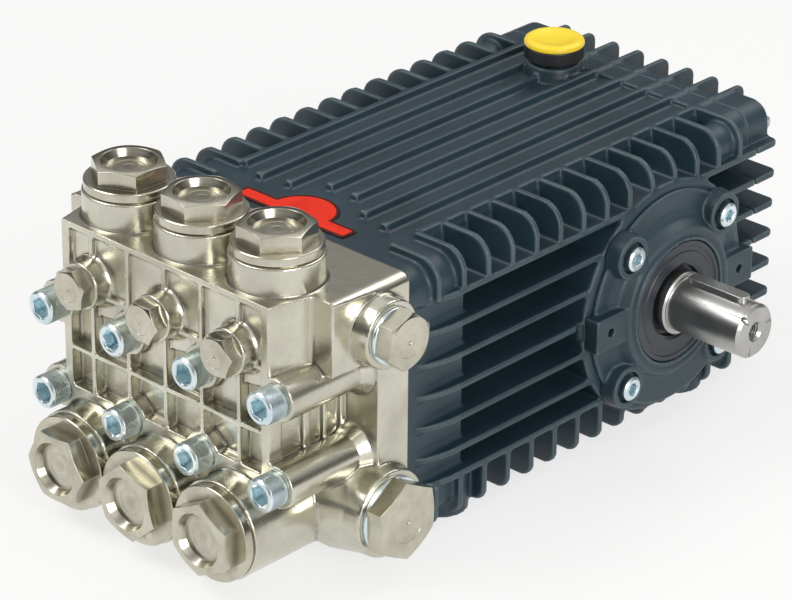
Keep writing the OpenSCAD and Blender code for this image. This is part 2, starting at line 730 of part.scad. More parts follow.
// A bearing cover drawn for the driven side: turned body, plain foot, screw bosses and lugs.
module bearing_cover(is_blind) {
    foot_z = shaft_height - cover_screw_span / 2 + 2;
    difference() {
        union() {
            translate([boss_face, shaft_y, shaft_height]) rotate([0, 90, 0])
                rotate_extrude($fn = 96) cover_section(seal_diameter / 2);
            difference() {
                bar_x(boss_face, cover_face, shaft_y, shaft_height, cover_diameter - 1,
                    cover_diameter - 3);
                bar_x(boss_face - 1, cover_face + 1, shaft_y, shaft_height, hub_diameter);
                block([boss_face - 1, shaft_y - cover_diameter, foot_z],
                    [cover_face + 1, shaft_y + cover_diameter, shaft_height + cover_diameter]);
            }
            for (y = [-1, 1], z = [-1, 1])
                bar_x(boss_face + eps, screw_boss_face, shaft_y + y * cover_screw_span / 2,
                    shaft_height + z * cover_screw_span / 2, cover_boss_diameter + 2, cover_boss_diameter);
            for (y1 = [shaft_y - lug_hole_span / 2 - lug_end, shaft_y + hub_diameter / 2 - 3])
                block([boss_face + eps, y1, shaft_height - lug_height / 2],
                    [lug_face, y1 + lug_hole_span / 2 + lug_end - hub_diameter / 2 + 3,
                    shaft_height + lug_height / 2]);
            if (is_blind) bar_x(boss_face, hub_face - 2, shaft_y, shaft_height, seal_diameter + 1);
        }
        for (y = [-1, 1]) {
            bar_x(boss_face + 1, lug_face + 1, shaft_y + y * lug_hole_span / 2, shaft_height,
                lug_hole_diameter);
            for (z = [-1, 1]) {
                bar_x(boss_face - 1, hub_face + 1, shaft_y + y * cover_screw_span / 2,
                    shaft_height + z * cover_screw_span / 2, cover_screw_stub + 2 * stub_gap);
                bar_x(screw_seat, hub_face + 1, shaft_y + y * cover_screw_span / 2,
                    shaft_height + z * cover_screw_span / 2, cover_screw_cap + 2 * cover_screw_gap);
            }
        }
    }
}

module drive_bearing_cover() {
    color("#3b474d") bearing_cover(false);
}

// Turns what is drawn for the driven side half round, on to the blind side.
module on_blind_side() {
    translate([0, 2 * shaft_y, 0]) rotate(180) children();
}

module blind_bearing_cover() {
    color("#3b474d") on_blind_side() bearing_cover(true);
}

module cover_screws() {
    for (y = [-1, 1], z = [-1, 1])
        translate([screw_seat, shaft_y + y * cover_screw_span / 2, shaft_height + z * cover_screw_span / 2])
            rotate([0, 90, 0]) cap_screw(cover_screw_cap, cover_screw_rise, cover_screw_socket,
                cover_screw_stub, screw_seat - boss_face + stub_length - 2);
}

module drive_cover_screws() {
    color("#c9ced1") cover_screws();
}

module blind_cover_screws() {
    color("#c9ced1") on_blind_side() cover_screws();
}

// The shaft seal: its lip runs on the collar, behind a wider opening in its face.
module shaft_seal() {
    lip_x = boss_face + (seal_face - boss_face) / 2;
    color("#26282a") difference() {
        bar_x(boss_face, seal_face, shaft_y, shaft_height, seal_diameter);
        bar_x(boss_face - 1, seal_face + 1, shaft_y, shaft_height, collar_diameter + 2 * shaft_clearance);
        bar_x(lip_x, seal_face + 1, shaft_y, shaft_height, collar_diameter + 4);
    }
}

// A bar along X with round ends: the key, or its slot in the shaft.
module key_bar(low, high) {
    x1 = shaft_end - key_end_gap - key_length + key_width / 2;
    x2 = shaft_end - key_end_gap - key_width / 2;
    translate([0, shaft_y, shaft_height + low]) linear_extrude(high - low) {
        rectangle([x1, -key_width / 2], [x2, key_width / 2]);
        for (x = [x1, x2]) translate([x, 0]) circle(d = key_width, $fn = FINE);
    }
}

module drive_shaft() {
    radius = shaft_diameter / 2;
    color("#b9bdbf") difference() {
        union() {
            bar_x(shaft_inner_end + 1, collar_end - 1, shaft_y, shaft_height, collar_diameter);
            bar_x(collar_end - 1 - eps, collar_end, shaft_y, shaft_height, collar_diameter,
                collar_diameter - 2);
            bar_x(collar_end - 1, shaft_end - shaft_bevel, shaft_y, shaft_height, shaft_diameter);
            bar_x(shaft_end - shaft_bevel - eps, shaft_end, shaft_y, shaft_height, shaft_diameter,
                shaft_diameter - 2 * shaft_bevel);
        }
        key_bar(radius - key_sink, shaft_diameter);
        bar_x(shaft_end - shaft_hole_depth, shaft_end + 1, shaft_y, shaft_height, shaft_hole_diameter);
        bar_x(shaft_end - shaft_bevel, shaft_end + eps, shaft_y, shaft_height, shaft_hole_diameter,
            shaft_hole_diameter + 2 * shaft_bevel);
        for (a = [14, 133, 250])
            bar_x(shaft_end - 2, shaft_end + 1, shaft_y + (radius - 2) * cos(a),
                shaft_height + (radius - 2) * sin(a), 3);
    }
}

module shaft_key() {
    color("#8f9496") key_bar(shaft_diameter / 2 - key_sink, shaft_diameter / 2 + key_rise);
}

// The upper part of the head seen from above: front posts, then the wider port blocks.
module head_plan() {
    x1 = front_half + post_flare;
    x2 = case_half - port_block_inset;
    polygon([[-front_half, front_y], [front_half, front_y], [x1, block_y], [x2, block_y],
        [case_half, joint_y], [-case_half, joint_y], [-x2, block_y], [-x1, block_y]]);
}

// The head's body: flange, middle, and the upper part with rounded edges along its sides.
module head_body() {
    block([-front_half, front_y, screw_rows[1] - screw_barrel_diameter / 2 - 4],
        [front_half, joint_y, plate_z]);
    intersection() {
        union() {
            run_z(head_top - port_block_height, head_top) head_plan();
            block([-case_half, flange_y, head_flange_low], [case_half, joint_y, plate_z]);
        }
        run_y(front_y - 1, joint_y + 1)
            round_rectangle([-case_half, 0], [case_half, head_top], head_corner_radius);
    }
}

// Six columns of pockets between the ribs of the front face, the lower two rows deep.
module front_pockets() {
    low_z = screw_rows[1] + 4;
    middle_z = (screw_rows[0] + screw_rows[1]) / 2 + 2;
    high_z = middle_plug_height - middle_boss_diameter / 4;
    rows = [[high_z + rib_width / 2, plate_z, pocket_depth],
        [middle_z + rib_width / 2, high_z - rib_width / 2, deep_pocket_depth],
        [low_z, middle_z - rib_width / 2, deep_pocket_depth]];
    edge = front_half - side_recess_depth - rib_width;
    for (i = [-3:2], r = rows) {
        x1 = max(i * plunger_pitch / 2 + rib_width / 2, -edge);
        x2 = min((i + 1) * plunger_pitch / 2 - rib_width / 2, edge);
        block([x1, front_y - 1, r[0]], [x2, front_y + r[2], r[1]]);
    }
}

// Recesses in the head's sides, between the barrels of the upper and lower screws.
module side_recesses() {
    y1 = front_y + deep_pocket_depth + rib_width;
    for (x = [-front_half - 1, front_half - side_recess_depth], y = [y1, block_y + 5, block_y + 17])
        block([x, y, screw_rows[1]], [x + side_recess_depth + 1,
            min(y < block_y ? block_y : y + 9, flange_y), screw_rows[0]]);
}

// A port's boss on one side of the head, widening towards the head's flange.
module port_boss(side, z, hex, flare) {
    shoulder = hex + 2 * port_shoulder;
    inner_x = front_half - 8;
    wide_x = front_half + 4;
    intersection() {
        mirror([side < 0 ? 1 : 0, 0, 0]) {
            bar_x(inner_x, wide_x + eps, port_y, z, shoulder + 2 * flare);
            bar_x(wide_x, case_half - 2, port_y, z, shoulder + 2 * flare, shoulder + 2);
            bar_x(case_half - 2 - eps, port_seat, port_y, z, shoulder + 2, shoulder);
        }
        block([-port_seat - 1, front_y, 0], [port_seat + 1, joint_y, plate_z]);
    }
}

module head_block() {
    color("#c4bca9") difference() {
        union() {
            difference() {
                head_body();
                front_pockets();
                side_recesses();
            }
            for (x = cylinders) {
                bar_z(screw_rows[0], discharge_seat, x, discharge_y, discharge_boss_diameter);
                bar_y(suction_seat, flange_y + 4, x, suction_height, suction_barrel_diameter);
                bar_y(middle_seat, front_y, x, middle_plug_height, middle_boss_diameter);
                bar_y(front_y - eps, front_y + deep_pocket_depth, x, middle_plug_height,
                    middle_boss_diameter, middle_boss_diameter + 8);
            }
            for (x = screw_columns, z = screw_rows) {
                bar_y(front_y, flange_y + 1, x, z, screw_barrel_diameter);
                bar_y(flange_y - 7, flange_y + 1, x, z, screw_barrel_diameter, screw_barrel_diameter + 9);
            }
            for (side = [-1, 1]) {
                port_boss(side, outlet_height, outlet_hex, outlet_flare);
                port_boss(side, inlet_height, inlet_hex, inlet_flare);
            }
        }
        for (i = [0:2]) {
            bar_z(discharge_seat - stub_length, discharge_seat + 1, cylinders[i], discharge_y,
                cap_stub + 2 * stub_gap);
            bar_y(suction_seat - 1, suction_seat + stub_length, cylinders[i], suction_height,
                cap_stub + 2 * stub_gap);
            bar_y(middle_seat - 1, middle_seat + stub_length, cylinders[i], middle_plug_height,
                middle_stub + 2 * stub_gap);
        }
        for (x = screw_columns, z = screw_rows)
            bar_y(front_y - 1, front_y + stub_length, x, z, screw_stub + 2 * stub_gap);
        for (x1 = [-port_seat - 1, port_seat - port_thread_depth]) {
            bar_x(x1, x1 + port_thread_depth + 1, port_y, outlet_height, outlet_thread);
            bar_x(x1, x1 + port_thread_depth + 1, port_y, inlet_height, inlet_thread);
        }
    }
}

// A valve cap standing on z = 0: stub, round collar, and a hexagon with a dished recess.
module valve_cap(flats, collar_diameter, turn) {
    translate([0, 0, -stub_length + 2]) cylinder(h = stub_length - 2 + eps, d = cap_stub, $fn = CURVE);
    difference() {
        union() {
            cylinder(h = cap_collar - 0.6, d = collar_diameter, $fn = CURVE);
            translate([0, 0, cap_collar - 0.6 - eps])
                cylinder(h = 0.6 + eps, d1 = collar_diameter, d2 = collar_diameter - 1.2, $fn = CURVE);
            translate([0, 0, cap_collar - eps]) hexagon(cap_hex_height + eps, flats, turn);
        }
        translate([0, 0, cap_collar + cap_hex_height - cap_dish_depth])
            cylinder(h = cap_dish_depth + eps, d1 = cap_dish_diameter - 3, d2 = cap_dish_diameter,
                $fn = CURVE);
    }
}

module discharge_cap(i) {
    color("#b5aa8e") translate([cylinders[i], discharge_y, discharge_seat])
        valve_cap(discharge_hex, discharge_boss_diameter - 2 * collar_step, discharge_turns[i]);
}

module suction_cap(i) {
    color("#b5aa8e") translate([cylinders[i], suction_seat, suction_height]) rotate([90, 0, 0])
        valve_cap(suction_hex, min(suction_barrel_diameter, plunger_pitch - collar_gap), suction_turns[i]);
}

module middle_plug(i) {
    color("#b5aa8e") translate([cylinders[i], middle_seat, middle_plug_height]) rotate([90, 0, 0]) {
        translate([0, 0, -stub_length + 2])
            cylinder(h = stub_length - 2 + eps, d = middle_stub, $fn = CURVE);
        hexagon(middle_hex_height, middle_hex, middle_turns[i]);
    }
}

// A hexagon plug screwed into a port of the driven side.
module port_plug(z, thread, flats, turn) {
    bar_x(port_seat - stub_length, port_seat + washer_thickness + eps, port_y, z, thread - 2 * stub_gap);
    translate([port_seat + washer_thickness, port_y, z]) rotate([0, 90, 0])
        hexagon(port_hex_height, flats, turn);
}

// The sealing washer between a port's boss and its plug.
module port_washer(z, thread, flats) {
    difference() {
        bar_x(port_seat, port_seat + washer_thickness, port_y, z, flats + 3);
        bar_x(port_seat - 1, port_seat + washer_thickness + 1, port_y, z, thread);
    }
}

module outlet_plug() {
    color("#bdb49a") port_plug(outlet_height, outlet_thread, outlet_hex, outlet_turn);
}

module outlet_washer() {
    color("#c9ced1") port_washer(outlet_height, outlet_thread, outlet_hex);
}

module inlet_plug() {
    color("#bdb49a") port_plug(inlet_height, inlet_thread, inlet_hex, inlet_turn);
}

module inlet_washer() {
    color("#c9ced1") port_washer(inlet_height, inlet_thread, inlet_hex);
}

// A socket head screw of the head, standing on its barrel's front.
module head_screw(column, row) {
    color("#c9d4da") translate([screw_columns[column], front_y, screw_rows[row]]) rotate([90, 0, 0])
        cap_screw(screw_cap_diameter, screw_cap_height, screw_socket, screw_stub, stub_length - 2);
}

module filler_neck() {
    color("#1b1c1d") {
        bar_z(deck_height - stub_length + 2, filler_z + eps, -filler_offset, filler_y, filler_stub);
        bar_z(filler_z, filler_z + filler_neck_height + eps, -filler_offset, filler_y,
            filler_neck_diameter);
        bar_z(filler_z + filler_neck_height, filler_z + filler_neck_height + filler_ring_height,
            -filler_offset, filler_y, filler_diameter);
    }
}

module filler_cap() {
    low = filler_z + filler_neck_height + filler_ring_height;
    color("#f5cf2c") bar_z(low, low + filler_top, -filler_offset, filler_y, filler_diameter - 0.6);
}

crankcase();
rear_cover();
drive_bearing_cover();
blind_bearing_cover();
drive_shaft();
shaft_key();
shaft_seal();
head_block();
discharge_cap(0);  // discharge_cap_left
discharge_cap(1);  // discharge_cap_middle
discharge_cap(2);  // discharge_cap_right
suction_cap(0);  // suction_cap_left
suction_cap(1);  // suction_cap_middle
suction_cap(2);  // suction_cap_right
middle_plug(0);  // middle_plug_left
middle_plug(1);  // middle_plug_middle
middle_plug(2);  // middle_plug_right
outlet_plug();
outlet_washer();
inlet_plug();
inlet_washer();
head_screw(0, 0);  // head_screw_top_1
head_screw(1, 0);  // head_screw_top_2
head_screw(2, 0);  // head_screw_top_3
head_screw(3, 0);  // head_screw_top_4
head_screw(0, 1);  // head_screw_low_1
head_screw(1, 1);  // head_screw_low_2
head_screw(2, 1);  // head_screw_low_3
head_screw(3, 1);  // head_screw_low_4
drive_cover_screws();
blind_cover_screws();
rear_cover_screws();
filler_neck();
filler_cap();
sight_glass();
sight_glass_ring();
drain_plug();
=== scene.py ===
import math

import bmesh
import bpy
from mathutils import Matrix, Vector


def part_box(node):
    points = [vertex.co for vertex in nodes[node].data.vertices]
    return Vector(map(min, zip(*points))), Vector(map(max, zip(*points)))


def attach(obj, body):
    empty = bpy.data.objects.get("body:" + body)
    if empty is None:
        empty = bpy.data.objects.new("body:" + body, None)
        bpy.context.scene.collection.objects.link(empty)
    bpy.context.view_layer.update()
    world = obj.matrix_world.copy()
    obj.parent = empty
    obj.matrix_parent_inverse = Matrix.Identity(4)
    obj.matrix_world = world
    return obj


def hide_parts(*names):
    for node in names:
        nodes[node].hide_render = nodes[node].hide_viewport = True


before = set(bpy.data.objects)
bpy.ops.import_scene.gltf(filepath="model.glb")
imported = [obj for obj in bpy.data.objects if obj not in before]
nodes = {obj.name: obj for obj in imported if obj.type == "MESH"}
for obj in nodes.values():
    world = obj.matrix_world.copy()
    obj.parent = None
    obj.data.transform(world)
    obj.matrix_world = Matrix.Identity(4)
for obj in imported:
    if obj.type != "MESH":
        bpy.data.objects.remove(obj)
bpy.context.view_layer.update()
scene = bpy.context.scene

# Camera
# The photograph was taken with a long lens from the front right, a little above the deck.
CAMERA_AZIMUTH = math.radians(42.87)
CAMERA_ELEVATION = math.radians(26.43)
CAMERA_ROLL = math.radians(0.54)
CAMERA_DISTANCE = 1.976
CAMERA_TARGET = Vector((0.0270, -0.0773, 0.0945))
CAMERA_LENS = 173.9


def place_camera():
    backwards = Vector((math.sin(CAMERA_AZIMUTH) * math.cos(CAMERA_ELEVATION),
                        -math.cos(CAMERA_AZIMUTH) * math.cos(CAMERA_ELEVATION),
                        math.sin(CAMERA_ELEVATION)))
    data = bpy.data.cameras.new("camera")
    data.lens = CAMERA_LENS
    data.sensor_width = 36
    data.clip_end = 20
    camera = bpy.data.objects.new("camera", data)
    scene.collection.objects.link(camera)
    turn = backwards.to_track_quat("Z", "Y").to_matrix().to_4x4()
    camera.matrix_world = (Matrix.Translation(CAMERA_TARGET + backwards * CAMERA_DISTANCE) @ turn
                           @ Matrix.Rotation(CAMERA_ROLL, 4, "Z"))
    scene.camera = camera


place_camera()

# Studio
# White paper under the pump and white behind it, a large soft lamp above the left, others at
# the right and behind. What the plated metal mirrors is dark just above the horizon and bright
# higher up, so that its forms read.
LAMPS = (("key", (-0.9, -1.1, 1.7), 20, 1.0), ("fill", (1.7, -0.6, 0.8), 22, 0.9),
         ("back", (0.2, 1.5, 1.7), 10, 1.2))
LAMP_AIM = Vector((0, 0, 0.08))
PAPER_GLOW = 0.72
FLOOR_HALF = 6
FLOOR_HEIGHT = -0.0001
ROOM_STEPS = ((0.0, 0.34), (0.52, 0.34), (0.66, 0.26), (0.80, 0.42), (1.0, 0.70))
MIRROR_STEPS = ((0.0, 0.92), (0.50, 0.92), (0.54, 0.05), (0.64, 0.08), (0.72, 0.30), (0.80, 0.58),
                (0.90, 1.00), (1.0, 0.42))


def show_background(tree, plain, shown, target, share=1.0):
    """Sends the plain shader to lamp light and the shown one to the eye, mirrors and glass."""
    path = tree.nodes.new("ShaderNodeLightPath")
    total = path.outputs["Is Camera Ray"]
    for name in ("Is Glossy Ray", "Is Transmission Ray"):
        either = tree.nodes.new("ShaderNodeMath")
        either.operation = "MAXIMUM"
        tree.links.new(total, either.inputs[0])
        tree.links.new(path.outputs[name], either.inputs[1])
        total = either.outputs[0]
    part = tree.nodes.new("ShaderNodeMath")
    part.operation = "MULTIPLY"
    part.inputs[1].default_value = share
    tree.links.new(total, part.inputs[0])
    mix = tree.nodes.new("ShaderNodeMixShader")
    tree.links.new(part.outputs[0], mix.inputs[0])
    tree.links.new(plain, mix.inputs[1])
    tree.links.new(shown, mix.inputs[2])
    tree.links.new(mix.outputs[0], target)


def build_room():
    world = bpy.data.worlds.new("studio")
    scene.world = world
    world.use_nodes = True
    tree = world.node_tree
    place = tree.nodes.new("ShaderNodeTexCoord")
    split = tree.nodes.new("ShaderNodeSeparateXYZ")
    tree.links.new(place.outputs["Generated"], split.inputs[0])
    height = tree.nodes.new("ShaderNodeMapRange")
    height.inputs["From Min"].default_value = -1
    tree.links.new(split.outputs["Z"], height.inputs["Value"])
    shades = []
    for steps in (ROOM_STEPS, MIRROR_STEPS):
        ramp = tree.nodes.new("ShaderNodeValToRGB")
        ramp.color_ramp.interpolation = "EASE"
        while len(ramp.color_ramp.elements) < len(steps):
            ramp.color_ramp.elements.new(1.0)
        for element, (position, value) in zip(ramp.color_ramp.elements, steps):
            element.position = position
            element.color = (value, value * 0.99, value * 0.975, 1)
        tree.links.new(height.outputs["Result"], ramp.inputs["Fac"])
        shade = tree.nodes.new("ShaderNodeBackground")
        tree.links.new(ramp.outputs["Color"], shade.inputs["Color"])
        shades.append(shade)
    seen = tree.nodes.new("ShaderNodeBackground")
    seen.inputs["Color"].default_value = (1, 1, 1, 1)
    path = tree.nodes.new("ShaderNodeLightPath")
    mix = tree.nodes.new("ShaderNodeMixShader")
    tree.links.new(path.outputs["Is Camera Ray"], mix.inputs[0])
    tree.links.new(shades[1].outputs[0], mix.inputs[1])
    tree.links.new(seen.outputs[0], mix.inputs[2])
    show_background(tree, shades[0].outputs[0], mix.outputs[0], tree.nodes["World Output"].inputs["Surface"])


def build_floor():
    mesh = bpy.data.meshes.new("floor")
    corners = ((-1, -1), (1, -1), (1, 1), (-1, 1))
    mesh.from_pydata([(x * FLOOR_HALF, y * FLOOR_HALF, FLOOR_HEIGHT) for x, y in corners], [], [(0, 1, 2, 3)])
    floor = bpy.data.objects.new("floor", mesh)
    scene.collection.objects.link(floor)
    paper = bpy.data.materials.new("floor_paper")
    paper.use_nodes = True
    tree = paper.node_tree
    paper_shader = tree.nodes["Principled BSDF"]
    paper_shader.inputs["Base Color"].default_value = (0.82, 0.81, 0.79, 1)
    paper_shader.inputs["Roughness"].default_value = 0.9
    glow = tree.nodes.new("ShaderNodeEmission")
    glow.inputs["Color"].default_value = (1, 1, 1, 1)
    show_background(tree, paper_shader.outputs[0], glow.outputs[0],
                    tree.nodes["Material Output"].inputs["Surface"], PAPER_GLOW)
    mesh.materials.append(paper)


def place_lamps():
    for name, place, power, size in LAMPS:
        data = bpy.data.lights.new(name, "AREA")
        data.energy = power
        data.size = size
        lamp = bpy.data.objects.new(name, data)
        lamp.location = place
        lamp.rotation_euler = (LAMP_AIM - Vector(place)).to_track_quat("-Z", "Y").to_euler()
        scene.collection.objects.link(lamp)


build_room()
build_floor()
place_lamps()
scene.view_settings.view_transform = "Standard"

# Crankcase casting
# Pressure-cast aluminium under a satin slate paint: deck, cooling fins, shoulders, bearing
# bosses and foot pads in one piece. The mould leaves every edge soft, with a small fillet in
# each corner, and a painted highlight makes the paint lighter over the raised edges.
CASTING_VOXEL = 0.0010
CASTING_TRIANGLES = 195000
CORNER_START = 0.497
CORNER_FULL = 0.452
PAINT_DARK = (0.011, 0.027, 0.038, 1)
PAINT_LIGHT = (0.019, 0.041, 0.056, 1)
# Lighter colour for raised edges: a painted highlight.
PAINT_EDGE_HIGHLIGHT = (0.078, 0.118, 0.128, 1)


def shader_of(material):
    return material.node_tree.nodes["Principled BSDF"]


def new_material(name, color, metallic, roughness):
    """A material with its plain finish set on the shader itself."""
    material = bpy.data.materials.new(name)
    material.use_nodes = True
    shader = shader_of(material)
    shader.inputs["Base Color"].default_value = color
    shader.inputs["Metallic"].default_value = metallic
    shader.inputs["Roughness"].default_value = roughness
    return material


def add_node(tree, kind, **values):
    """Adds a node; a value whose name is a socket's sets the socket, others set the node."""
    node = tree.nodes.new(kind)
    for name, value in values.items():
        socket = node.inputs.get(name.replace("_", " "))
        if socket is not None:
            socket.default_value = value
        else:
            setattr(node, name, value)
    return node


def new_group(name, inputs, outputs):
    """An empty shader group with float or colour sockets, ready to be filled."""
    group = bpy.data.node_groups.new(name, "ShaderNodeTree")
    for label, kind, value in inputs:
        socket = group.interface.new_socket(label, in_out="INPUT", socket_type=kind)
        socket.default_value = value
    for label, kind in outputs:
        group.interface.new_socket(label, in_out="OUTPUT", socket_type=kind)
    return group, group.nodes.new("NodeGroupInput"), group.nodes.new("NodeGroupOutput")


def make_skin_group():
    """Cloudy tone and fine grain of a finished surface, read from the object's own coordinates."""
    group, given, result = new_group("surface_skin", [
        ("Cloud Scale", "NodeSocketFloat", 18.0), ("Grain Scale", "NodeSocketFloat", 1400.0),
        ("Grain Share", "NodeSocketFloat", 0.5)],
        [("Cloud", "NodeSocketFloat"), ("Grain", "NodeSocketFloat"), ("Height", "NodeSocketFloat")])
    place = group.nodes.new("ShaderNodeTexCoord")
    cloud = add_node(group, "ShaderNodeTexNoise", Detail=4.0, Roughness=0.6)
    grain = add_node(group, "ShaderNodeTexNoise", Detail=2.0, Roughness=0.7)
    coarse = add_node(group, "ShaderNodeTexNoise", Detail=1.0, Roughness=0.5)
    coarser = add_node(group, "ShaderNodeMath", operation="MULTIPLY")
    coarser.inputs[1].default_value = 0.12
    height = add_node(group, "ShaderNodeMix", data_type="FLOAT")
    link = group.links.new
    for texture in (cloud, grain, coarse):
        link(place.outputs["Object"], texture.inputs["Vector"])
    link(given.outputs["Cloud Scale"], cloud.inputs["Scale"])
    link(given.outputs["Grain Scale"], grain.inputs["Scale"])
    link(given.outputs["Grain Scale"], coarser.inputs[0])
    link(coarser.outputs[0], coarse.inputs["Scale"])
    link(given.outputs["Grain Share"], height.inputs["Factor"])
    link(coarse.outputs["Fac"], height.inputs["A"])
    link(grain.outputs["Fac"], height.inputs["B"])
    link(cloud.outputs["Fac"], result.inputs["Cloud"])
    link(grain.outputs["Fac"], result.inputs["Grain"])
    link(height.outputs["Result"], result.inputs["Height"])
    return group


def make_edge_group():
    """Masks for raised edges and for deep corners, from how the surface bends."""
    group, given, result = new_group("edge_masks", [
        ("Edge Start", "NodeSocketFloat", 0.51), ("Edge Full", "NodeSocketFloat", 0.56)],
        [("Edge", "NodeSocketFloat"), ("Corner", "NodeSocketFloat")])
    shape = group.nodes.new("ShaderNodeNewGeometry")
    edge = add_node(group, "ShaderNodeMapRange")
    # The corner mask carries the painted shade of concave corners; the edge mask carries the painted
    # highlight on the paint's raised edges.
    corner = add_node(group, "ShaderNodeMapRange", From_Min=CORNER_START, From_Max=CORNER_FULL)
    link = group.links.new
    link(shape.outputs["Pointiness"], edge.inputs["Value"])
    link(shape.outputs["Pointiness"], corner.inputs["Value"])
    link(given.outputs["Edge Start"], edge.inputs["From Min"])
    link(given.outputs["Edge Full"], edge.inputs["From Max"])
    link(edge.outputs["Result"], result.inputs["Edge"])
    link(corner.outputs["Result"], result.inputs["Corner"])
    return group


skin_group = make_skin_group()
edge_group = make_edge_group()


def place_group(material, group, **values):
    node = material.node_tree.nodes.new("ShaderNodeGroup")
    node.node_tree = group
    for name, value in values.items():
        node.inputs[name.replace("_", " ")].default_value = value
    return node


def blend_colors(tree, share, first, second):
    """A colour between two others; each may be a plain colour or an output."""
    mix = tree.nodes.new("ShaderNodeMix")
    mix.data_type = "RGBA"
    color_a, color_b = [s for s in mix.inputs if s.type == "RGBA"][:2]
    for socket, value in ((color_a, first), (color_b, second)):
        if isinstance(value, bpy.types.NodeSocket):
            tree.links.new(value, socket)
        else:
            socket.default_value = value
    tree.links.new(share, mix.inputs[0])
    return [s for s in mix.outputs if s.type == "RGBA"][0]


def scale_value(tree, value, low, high, start=0.0, full=1.0):
    spread = add_node(tree, "ShaderNodeMapRange", From_Min=start, From_Max=full, To_Min=low, To_Max=high)
    tree.links.new(value, spread.inputs["Value"])
    return spread.outputs["Result"]


def vary_roughness(material, mask, low, high):
    """Roughness from low to high over the middle of a mask."""
    tree = material.node_tree
    tree.links.new(scale_value(tree, mask, low, high, 0.3, 0.7), shader_of(material).inputs["Roughness"])


def add_bump(material, height, strength, distance):
    tree = material.node_tree
    bump = add_node(tree, "ShaderNodeBump", Strength=strength, Distance=distance)
    tree.links.new(height, bump.inputs["Height"])
    tree.links.new(bump.outputs["Normal"], shader_of(material).inputs["Normal"])


def make_cast_paint():
    material = new_material("cast_paint", PAINT_LIGHT, 0.0, 0.45)
    tree = material.node_tree
    shader = shader_of(material)
    shader.inputs["Specular IOR Level"].default_value = 0.5
    skin = place_group(material, skin_group, Cloud_Scale=22.0, Grain_Scale=1500.0, Grain_Share=0.6)
    edges = place_group(material, edge_group)
    tone = blend_colors(tree, scale_value(tree, skin.outputs["Cloud"], 0, 1, 0.35, 0.65), PAINT_DARK,
                        PAINT_LIGHT)
    # Raised edges are blended towards the lighter colour as a painted highlight.
    edge_highlight_share = scale_value(tree, edges.outputs["Edge"], 0.0, 0.85)
    tree.links.new(blend_colors(tree, edge_highlight_share, tone, PAINT_EDGE_HIGHLIGHT), shader.inputs["Base Color"])
    vary_roughness(material, skin.outputs["Grain"], 0.36, 0.52)
    add_bump(material, skin.outputs["Height"], 0.25, 0.0004)
    return material


def settle_modifiers(piece):
    """Turns what the piece's modifiers give into its plain mesh."""
    finished = bpy.data.meshes.new_from_object(piece.evaluated_get(bpy.context.evaluated_depsgraph_get()))
    piece.modifiers.clear()
    piece.data = finished


def soft_casting(node, voxel, rounds, triangles, material, body="pump"):
    """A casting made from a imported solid: every edge rounded and every corner filled a little."""
    mesh = nodes[node].data.copy()
    shape = bmesh.new()
    shape.from_mesh(mesh)
    bmesh.ops.remove_doubles(shape, verts=shape.verts, dist=1e-6)
    shape.to_mesh(mesh)
    shape.free()
    mesh.materials.clear()
    mesh.materials.append(material)
    piece = bpy.data.objects.new(node + "_casting", mesh)
    scene.collection.objects.link(piece)
    skin = piece.modifiers.new("skin", "REMESH")
    skin.mode = "VOXEL"
    skin.voxel_size = voxel * 1.0
    skin.use_smooth_shade = True
    soften = piece.modifiers.new("soften", "SMOOTH")
    soften.factor = 0.5
    soften.iterations = rounds
    settle_modifiers(piece)
    thin = piece.modifiers.new("thin", "DECIMATE")
    thin.ratio = min(1.0, triangles / sum(len(face.vertices) - 2 for face in piece.data.polygons))
    flat = piece.modifiers.new("flat", "WEIGHTED_NORMAL")
    flat.keep_sharp = False
    settle_modifiers(piece)
    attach(piece, body)
    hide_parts(node)
    return piece


cast_paint = make_cast_paint()
soft_casting("crankcase", CASTING_VOXEL, 3, CASTING_TRIANGLES, cast_paint)

# Rear cover and bearing covers
# Cast and painted as the crankcase is; the rear cover closes the crank chamber, and the two
# turned-faced bearing covers carry the main bearings. Each is held by cap screws.
COVER_VOXEL = 0.0008
REAR_COVER_TRIANGLES = 120000
BEARING_COVER_TRIANGLES = 60000

soft_casting("rear_cover", COVER_VOXEL, 4, REAR_COVER_TRIANGLES, cast_paint)
for cover in ("drive_bearing_cover", "blind_bearing_cover"):
    soft_casting(cover, COVER_VOXEL, 3, BEARING_COVER_TRIANGLES, cast_paint)

# Pump head
# A bronze casting, nickel plated all over with a warm satin lustre. Ribs and pockets lighten
# its front, barrels carry the long screws, and the valve bosses are faced on a lathe.
HEAD_VOXEL = 0.0007
PLATE_LIGHT = (0.665, 0.648, 0.548, 1)
PLATE_DARK = (0.240, 0.222, 0.175, 1)
# Dark colour for concave corners: painted shade.
PLATE_CREASE_SHADE = (0.105, 0.093, 0.070, 1)


def make_plated_casting():
    material = new_material("plated_casting", PLATE_LIGHT, 1.0, 0.22)
    tree = material.node_tree
    shader = shader_of(material)
    skin = place_group(material, skin_group, Cloud_Scale=30.0, Grain_Scale=700.0, Grain_Share=0.2)
    edges = place_group(material, edge_group)
    tone = blend_colors(tree, scale_value(tree, skin.outputs["Cloud"], 0.0, 0.35, 0.35, 0.7), PLATE_LIGHT,
                        PLATE_DARK)
    # Concave corners are darkened as painted shade.
    crease_shade_share = scale_value(tree, edges.outputs["Corner"], 0.0, 0.85)
    tree.links.new(blend_colors(tree, crease_shade_share, tone, PLATE_CREASE_SHADE), shader.inputs["Base Color"])
    vary_roughness(material, skin.outputs["Cloud"], 0.19, 0.32)
    add_bump(material, skin.outputs["Height"], 0.28, 0.0005)
    return material


plated_casting = make_plated_casting()
soft_casting("head_block", HEAD_VOXEL, 4, CASTING_TRIANGLES, plated_casting)

